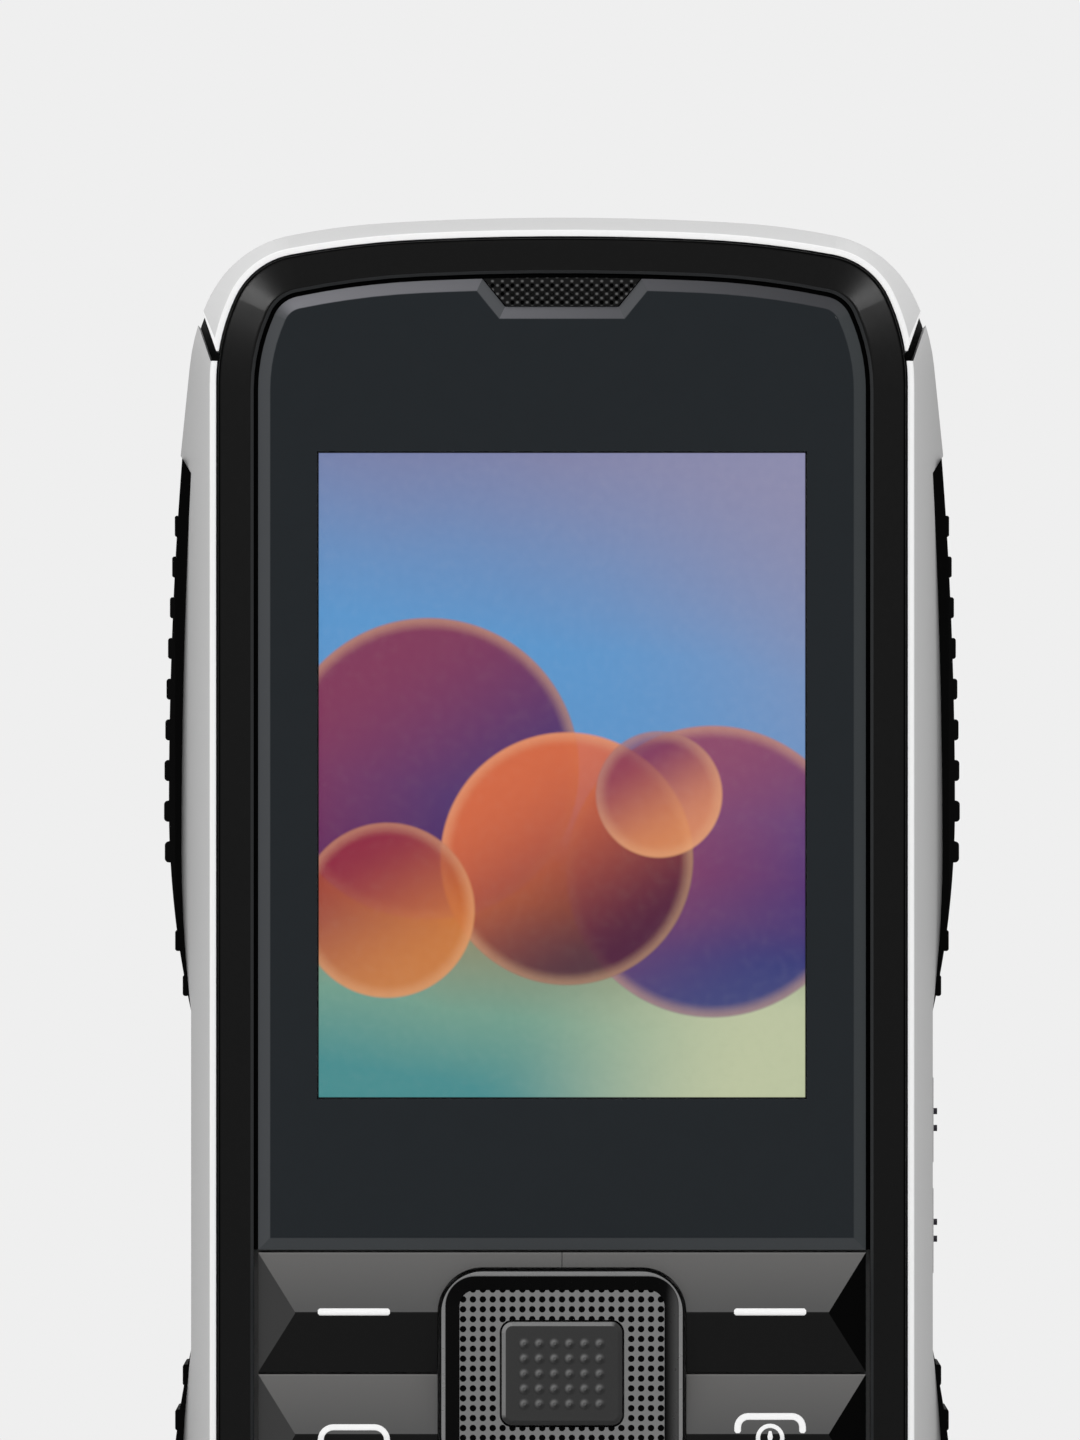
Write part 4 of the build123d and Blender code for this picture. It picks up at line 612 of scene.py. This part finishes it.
plated = Paint("screw_steel", {"Metallic": 1.0})
swirl = plated.noise(5.0, 3.0)
plated.feed("Base Color", plated.mix(grey(0.34), grey(0.46), swirl))
plated.feed("Roughness", 0.22 + swirl * 0.2)
plated.relief(swirl, 0.003, 0.05)
plated.dress("housing_screws", "vibration_motor")

inner = Paint("inner_plastic", {"Specular IOR Level": 0.4})
grain = inner.noise(6.0, 3.0)
inner.feed("Base Color", inner.mix(grey(0.018), grey(0.034), grain))
inner.feed("Roughness", 0.42 + grain * 0.2)
inner.relief(grain, 0.01, 0.08)
inner.dress("nav_gimbal", "battery_contacts", "camera_module", "loudspeaker", "antenna", "earpiece_speaker",
            "microphone", "audio_jack", "side_switches")

mat = Paint("mat_rubber", {"Specular IOR Level": 0.3})
grain = mat.noise(5.0, 2.0)
mat.feed("Base Color", mat.mix(grey(0.24), grey(0.32), grain))
mat.feed("Roughness", 0.5 + grain * 0.15)
mat.relief(grain, 0.006, 0.1)
mat.dress("keypad_mat")

FILM_PITCH = 0.8
BOARD_PITCH = 1.1
TRACK_BLEND = 0.04


def track(axis, pitch, first, last):
    """1 on a copper track that lies between first and last in every pitch, 0 beside it."""
    within = axis % pitch
    return within.rise(first, first + TRACK_BLEND) * within.rise(last, last - TRACK_BLEND)


film = Paint("flex_film", {"Specular IOR Level": 0.5})
x, _, _ = film.along_axes()
tracks = track(x, FILM_PITCH, 0.3, 0.7)
film.feed("Base Color", film.mix((0.50, 0.20, 0.03, 1.0), (0.30, 0.11, 0.02, 1.0), tracks))
film.feed("Roughness", 0.22 + tracks * 0.1)
film.relief(tracks, 0.01, 0.03)
film.dress("lcd_flex")

# %% [markdown]
# ## The circuit board
# A board is green solder mask over copper tracks, with bare gold pads. Real tracks come from a drawing,
# but a grid of short straight runs in two directions gives the same look: a pattern of cells picks
# which way the runs go. The battery behind it is a dark case with a lighter wrap round its middle.

# %% Board
board = Paint("board_green", {"Specular IOR Level": 0.5})
place, x, _, z = board.coordinates()
cells = board.node("ShaderNodeTexVoronoi", {"distance": "MANHATTAN"},
                   {"Vector": board.stretched((0.5, 1, 0.5)), "Scale": 0.4}, "Color")
turn = board.node("ShaderNodeSeparateXYZ", inputs={0: cells}).rise(0.49, 0.51)
down = track(x, BOARD_PITCH, 0.36, 0.74)
along = track(z, BOARD_PITCH, 0.36, 0.74)
tracks = down * turn + along * (1.0 - turn)
dots = board.node("ShaderNodeTexVoronoi", {"feature": "F1"}, {"Vector": place, "Scale": 0.33})
pads = dots.rise(0.17, 0.14)
green = board.mix((0.010, 0.075, 0.022, 1.0), (0.022, 0.150, 0.045, 1.0), tracks)
board.feed("Base Color", board.mix(green, (0.80, 0.56, 0.20, 1.0), pads))
board.feed("Metallic", pads * 0.9)
board.feed("Roughness", 0.3 + board.noise(4.0) * 0.1)
board.relief(tracks, 0.02, 0.05)
board.dress("main_board")

BATTERY_MIDDLE = 58.0
WRAP_HALF = 20.0

pack = Paint("battery_case", {"Specular IOR Level": 0.4})
_, _, z = pack.along_axes()
wrap = abs(z - BATTERY_MIDDLE).rise(WRAP_HALF + 0.2, WRAP_HALF)
folds = pack.noise(0.8, 3.0, vector=pack.stretched((1.0, 1.0, 0.2)))
pack.feed("Base Color", pack.mix(grey(0.05), pack.mix(grey(0.16), grey(0.22), folds), wrap))
pack.feed("Roughness", 0.32 + folds * 0.15)
pack.relief(folds, 0.03, 0.2)
pack.dress("battery")
print("inside parts dressed")

# %% [markdown]
# ## Printed signs
# Each key carries a white sign: a dash on the two soft keys, an outline on the call key, a handset with
# a power ring on the end key, and plain numbers on the rest. The print is a low stroke that follows the
# facets. A texture would need a map for each key, so the signs are small meshes that are laid on the
# key with a ray for each point.

# %% White ink
ink = Paint("sign_white", {"Specular IOR Level": 0.3})
grain = ink.noise(6.0, 3.0)
ink.feed("Base Color", ink.mix(grey(0.95), grey(0.99), grain))
ink.feed("Roughness", 0.45 + grain * 0.15)

SIGN_LIFT = 0.03
RIDGE_CUT = 0.05
RAY_START = -0.1
TIP_SHARE = 0.5


def mesh_of(maker):
    """A mesh made from a curve or text object, which is then removed."""
    curve = bpy.data.objects.new("pattern", maker)
    bpy.context.scene.collection.objects.link(curve)
    depsgraph = bpy.context.evaluated_depsgraph_get()
    mesh = bpy.data.meshes.new_from_object(curve.evaluated_get(depsgraph))
    bpy.data.objects.remove(curve)
    return mesh


def lay_on_key(name, key, bm, ridge):
    """Bends a flat sign, drawn in x and z, over the key's facets and makes it a piece of the key."""
    for level in (ridge - RIDGE_CUT, ridge + RIDGE_CUT):
        bmesh.ops.bisect_plane(bm, geom=bm.verts[:] + bm.edges[:] + bm.faces[:], plane_co=(0, 0, level * MM),
                               plane_no=(0, 0, 1))
    solid = nodes[key].data
    tree = BVHTree.FromPolygons([v.co for v in solid.vertices], [p.vertices[:] for p in solid.polygons])
    for vert in bm.verts:
        hit = tree.ray_cast(Vector((vert.co.x, RAY_START, vert.co.z)), Vector((0, 1, 0)))[0]
        if hit:
            vert.co.y += hit.y
    bmesh.ops.recalc_face_normals(bm, faces=bm.faces[:])
    mesh = bpy.data.meshes.new(name)
    bm.to_mesh(mesh)
    bm.free()
    piece = bpy.data.objects.new(name, mesh)
    bpy.context.scene.collection.objects.link(piece)
    mesh.materials.append(ink.material)
    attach(piece, f"{key}_body")


def stroke(bm, points, width, closed=False):
    """Adds a flat stroke of one width, with narrower tips, along points given as x and z in millimetres."""
    curve = bpy.data.curves.new("stroke", "CURVE")
    curve.dimensions = "3D"
    curve.bevel_depth = width / 2 * MM
    curve.bevel_resolution = 3
    curve.use_fill_caps = True
    spline = curve.splines.new("POLY")
    spline.points.add(len(points) - 1)
    for point, (across, high) in zip(spline.points, points):
        point.co = (across * MM, 0, high * MM, 1)
    if not closed:
        spline.points[0].radius = spline.points[-1].radius = TIP_SHARE
    spline.use_cyclic_u = closed
    mesh = mesh_of(curve)
    for vert in mesh.vertices:
        vert.co.y *= SIGN_LIFT * 2 / width
    bm.from_mesh(mesh)


def arc(centre, radius, first, last, steps=10):
    """Points on an arc, with its angles in degrees from +x towards +z."""
    angles = [radians(first + (last - first) * i / steps) for i in range(steps + 1)]
    return [(centre[0] + radius * cos(a), centre[1] + radius * sin(a)) for a in angles]


# %% Signs of the function keys
FUNCTION_RIDGES = (55.28, 46.08)
SIGN_X = 15.71
DASH_HALF = 2.72
DASH_WIDTH = 0.56
DASH_RISE = 0.06
DASH_SHARES = (-1, -0.95, -0.5, 0, 0.5, 0.95, 1)

for key, way in (("left_softkey", -1), ("right_softkey", 1)):
    bm = bmesh.new()
    middle = way * SIGN_X
    dash = [(middle + DASH_HALF * share, FUNCTION_RIDGES[0] + DASH_RISE) for share in DASH_SHARES]
    stroke(bm, dash, DASH_WIDTH)
    lay_on_key(f"sign_{key}", key, bm, FUNCTION_RIDGES[0])

CALL_WIDTH = 5.0
CALL_HEIGHT = 3.0
CALL_CORNER = 0.95
CALL_STROKE = 0.48
CALL_HIGH = 45.13
call_middle = (-SIGN_X, CALL_HIGH)
half_x = CALL_WIDTH / 2 - CALL_CORNER
half_z = CALL_HEIGHT / 2 - CALL_CORNER
outline = []
for way_x, way_z, start in ((1, 1, 0), (-1, 1, 90), (-1, -1, 180), (1, -1, 270)):
    corner = (call_middle[0] + way_x * half_x, call_middle[1] + way_z * half_z)
    outline += arc(corner, CALL_CORNER, start, start + 90, 6)
bm = bmesh.new()
stroke(bm, outline, CALL_STROKE, closed=True)
lay_on_key("sign_call_key", "call_key", bm, FUNCTION_RIDGES[1])

ARCH_HALF = 2.45
ARCH_TOP = 47.44
ARCH_CORNER = 0.8
ARCH_FOOT = 1.25
ARCH_FOOT_TIP = 1.1
ARCH_STROKE = 0.52
POWER_HIGH = 45.82
POWER_RADIUS = 0.92
POWER_STROKE = 0.34
TICK_HEIGHTS = (46.35, 45.9, 45.5)
TICK_STROKE = 0.42
left_end, right_end = SIGN_X - ARCH_HALF, SIGN_X + ARCH_HALF
arch = ([(left_end, ARCH_TOP - ARCH_FOOT), (left_end, ARCH_TOP - ARCH_FOOT_TIP)]
        + arc((left_end + ARCH_CORNER, ARCH_TOP - ARCH_CORNER), ARCH_CORNER, 180, 90, 6)
        + arc((right_end - ARCH_CORNER, ARCH_TOP - ARCH_CORNER), ARCH_CORNER, 90, 0, 6)
        + [(right_end, ARCH_TOP - ARCH_FOOT_TIP), (right_end, ARCH_TOP - ARCH_FOOT)])
bm = bmesh.new()
stroke(bm, arch, ARCH_STROKE)
stroke(bm, arc((SIGN_X, POWER_HIGH), POWER_RADIUS, 0, 345, 24), POWER_STROKE, closed=True)
stroke(bm, [(SIGN_X, high) for high in TICK_HEIGHTS], TICK_STROKE)
lay_on_key("sign_end_key", "end_key", bm, FUNCTION_RIDGES[1])
print("function signs laid: 4")

# %% Numbers
DIGIT_SIZE = 4.6
DIGIT_SPREAD = 0.06
marks = dict(zip(number_keys, "123456789*0#"))
for key, mark in marks.items():
    low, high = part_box(key)
    middle_x = (low[0] + high[0]) / 2 / MM
    ridge = (low[2] + high[2]) / 2 / MM
    text = bpy.data.curves.new(f"mark_{key}", "FONT")
    text.body = mark
    text.size = DIGIT_SIZE * MM
    text.offset = DIGIT_SPREAD * MM
    text.extrude = SIGN_LIFT * MM
    text.resolution_u = 6
    mesh = mesh_of(text)
    xs = [v.co.x for v in mesh.vertices]
    ys = [v.co.y for v in mesh.vertices]
    aside = (min(xs) + max(xs)) / 2
    aloft = (min(ys) + max(ys)) / 2
    for vert in mesh.vertices:
        vert.co = (vert.co.x - aside + middle_x * MM, -vert.co.z, vert.co.y - aloft + ridge * MM)
    bm = bmesh.new()
    bm.from_mesh(mesh)
    lay_on_key(f"sign_{key}", key, bm, ridge)
print("number signs laid:", len(marks))

# %% [markdown]
# ## The studio
# A plain pale floor and a pale surrounding. The floor is small enough to stay below the lower edge of
# the portrait, which so shows one even grey behind the phone. The camera, reflections and clear pieces
# see the surrounding in that grey, and everything else is lit by a darker one, which leaves the shading
# to the lamps.

# %% Floor and surrounding
FLOOR_RADIUS = 0.9
BACKGROUND = 0.863
AMBIENT = 0.5

bm = bmesh.new()
bmesh.ops.create_circle(bm, cap_ends=True, segments=96, radius=FLOOR_RADIUS)
floor_mesh = bpy.data.meshes.new("floor")
bm.to_mesh(floor_mesh)
bm.free()
floor = bpy.data.objects.new("floor", floor_mesh)
bpy.context.scene.collection.objects.link(floor)
floor_paint = Paint("floor_pale", {"Specular IOR Level": 0.1})
floor_paint.feed("Base Color", floor_paint.mix(grey(0.78), grey(0.80), floor_paint.noise(0.02)))
floor_paint.feed("Roughness", 0.85 + floor_paint.noise(0.3) * 0.1)
floor_mesh.materials.append(floor_paint.material)

world = bpy.data.worlds.new("studio")
bpy.context.scene.world = world
world.use_nodes = True
tree = world.node_tree
sky = tree.nodes["Background"]
path = tree.nodes.new("ShaderNodeLightPath")
seen = path.outputs["Is Camera Ray"]
for ray in ("Is Glossy Ray", "Is Transmission Ray"):
    either = tree.nodes.new("ShaderNodeMath")
    either.operation = "MAXIMUM"
    tree.links.new(seen, either.inputs[0])
    tree.links.new(path.outputs[ray], either.inputs[1])
    seen = either.outputs[0]
blend = tree.nodes.new("ShaderNodeMix")
blend.data_type = "RGBA"
tree.links.new(seen, blend.inputs[0])
blend.inputs[6].default_value = grey(AMBIENT)
blend.inputs[7].default_value = grey(BACKGROUND)
tree.links.new(blend.outputs[2], sky.inputs["Color"])

# %% [markdown]
# ## Lamps
# Large area lamps give soft shadows. The main one stands in front at the upper left, and the others
# open up the sides, the top and the back. Two small boxes in front add the highlights at the upper
# corners of the bezel. The power is set so that a colour renders about as it is written.

# %% Lamps
AIM = Vector((0.0, 0.0, 0.075))


def lamp_at(name, place, size, power):
    """An area lamp of a size in metres and a power in watts, turned towards the middle of the phone."""
    light = bpy.data.lights.new(name, "AREA")
    light.shape = "RECTANGLE"
    light.size, light.size_y = size
    light.energy = power
    lamp_object = bpy.data.objects.new(name, light)
    lamp_object.location = place
    lamp_object.rotation_euler = (AIM - Vector(place)).to_track_quat("-Z", "Y").to_euler()
    bpy.context.scene.collection.objects.link(lamp_object)


lamp_at("main_lamp", (-0.25, -0.70, 0.85), (0.7, 0.5), 2.1)
lamp_at("top_lamp", (0.1, 0.0, 1.0), (0.8, 0.6), 1.2)
lamp_at("right_lamp", (0.85, -0.45, 0.5), (0.4, 0.6), 1.0)
lamp_at("left_lamp", (-0.85, -0.45, 0.5), (0.4, 0.6), 1.2)
lamp_at("back_lamp", (0.2, 0.9, 0.6), (0.7, 0.5), 1.6)
lamp_at("upper_left_box", (-0.25, -0.95, 0.31), (0.07, 0.07), 0.7)
lamp_at("upper_right_box", (0.25, -0.95, 0.31), (0.07, 0.07), 0.6)

# %% [markdown]
# ## The camera
# The portrait is seen straight from the front and from far away, so that parallel edges stay parallel.
# The lens is worked out from the distance and the height of the view.

# %% Camera
CAMERA_DISTANCE = 1.2
VIEW_HEIGHT = 0.10872
FRAME_X = -1.661
FRAME_Z = 100.02
FACE_Y = -8.0

camera_data = bpy.data.cameras.new("camera")
camera_data.sensor_width = 36.0
camera_data.lens = camera_data.sensor_width * CAMERA_DISTANCE / VIEW_HEIGHT
camera_data.clip_start = 0.01
camera_data.clip_end = 20.0
camera = bpy.data.objects.new("camera", camera_data)
camera.location = (FRAME_X * MM, FACE_Y * MM - CAMERA_DISTANCE, FRAME_Z * MM)
camera.rotation_euler = (pi / 2, 0, 0)
bpy.context.scene.collection.objects.link(camera)
bpy.context.scene.camera = camera
bpy.context.scene.view_settings.view_transform = "Standard"
print("lens in mm:", round(camera_data.lens, 1))
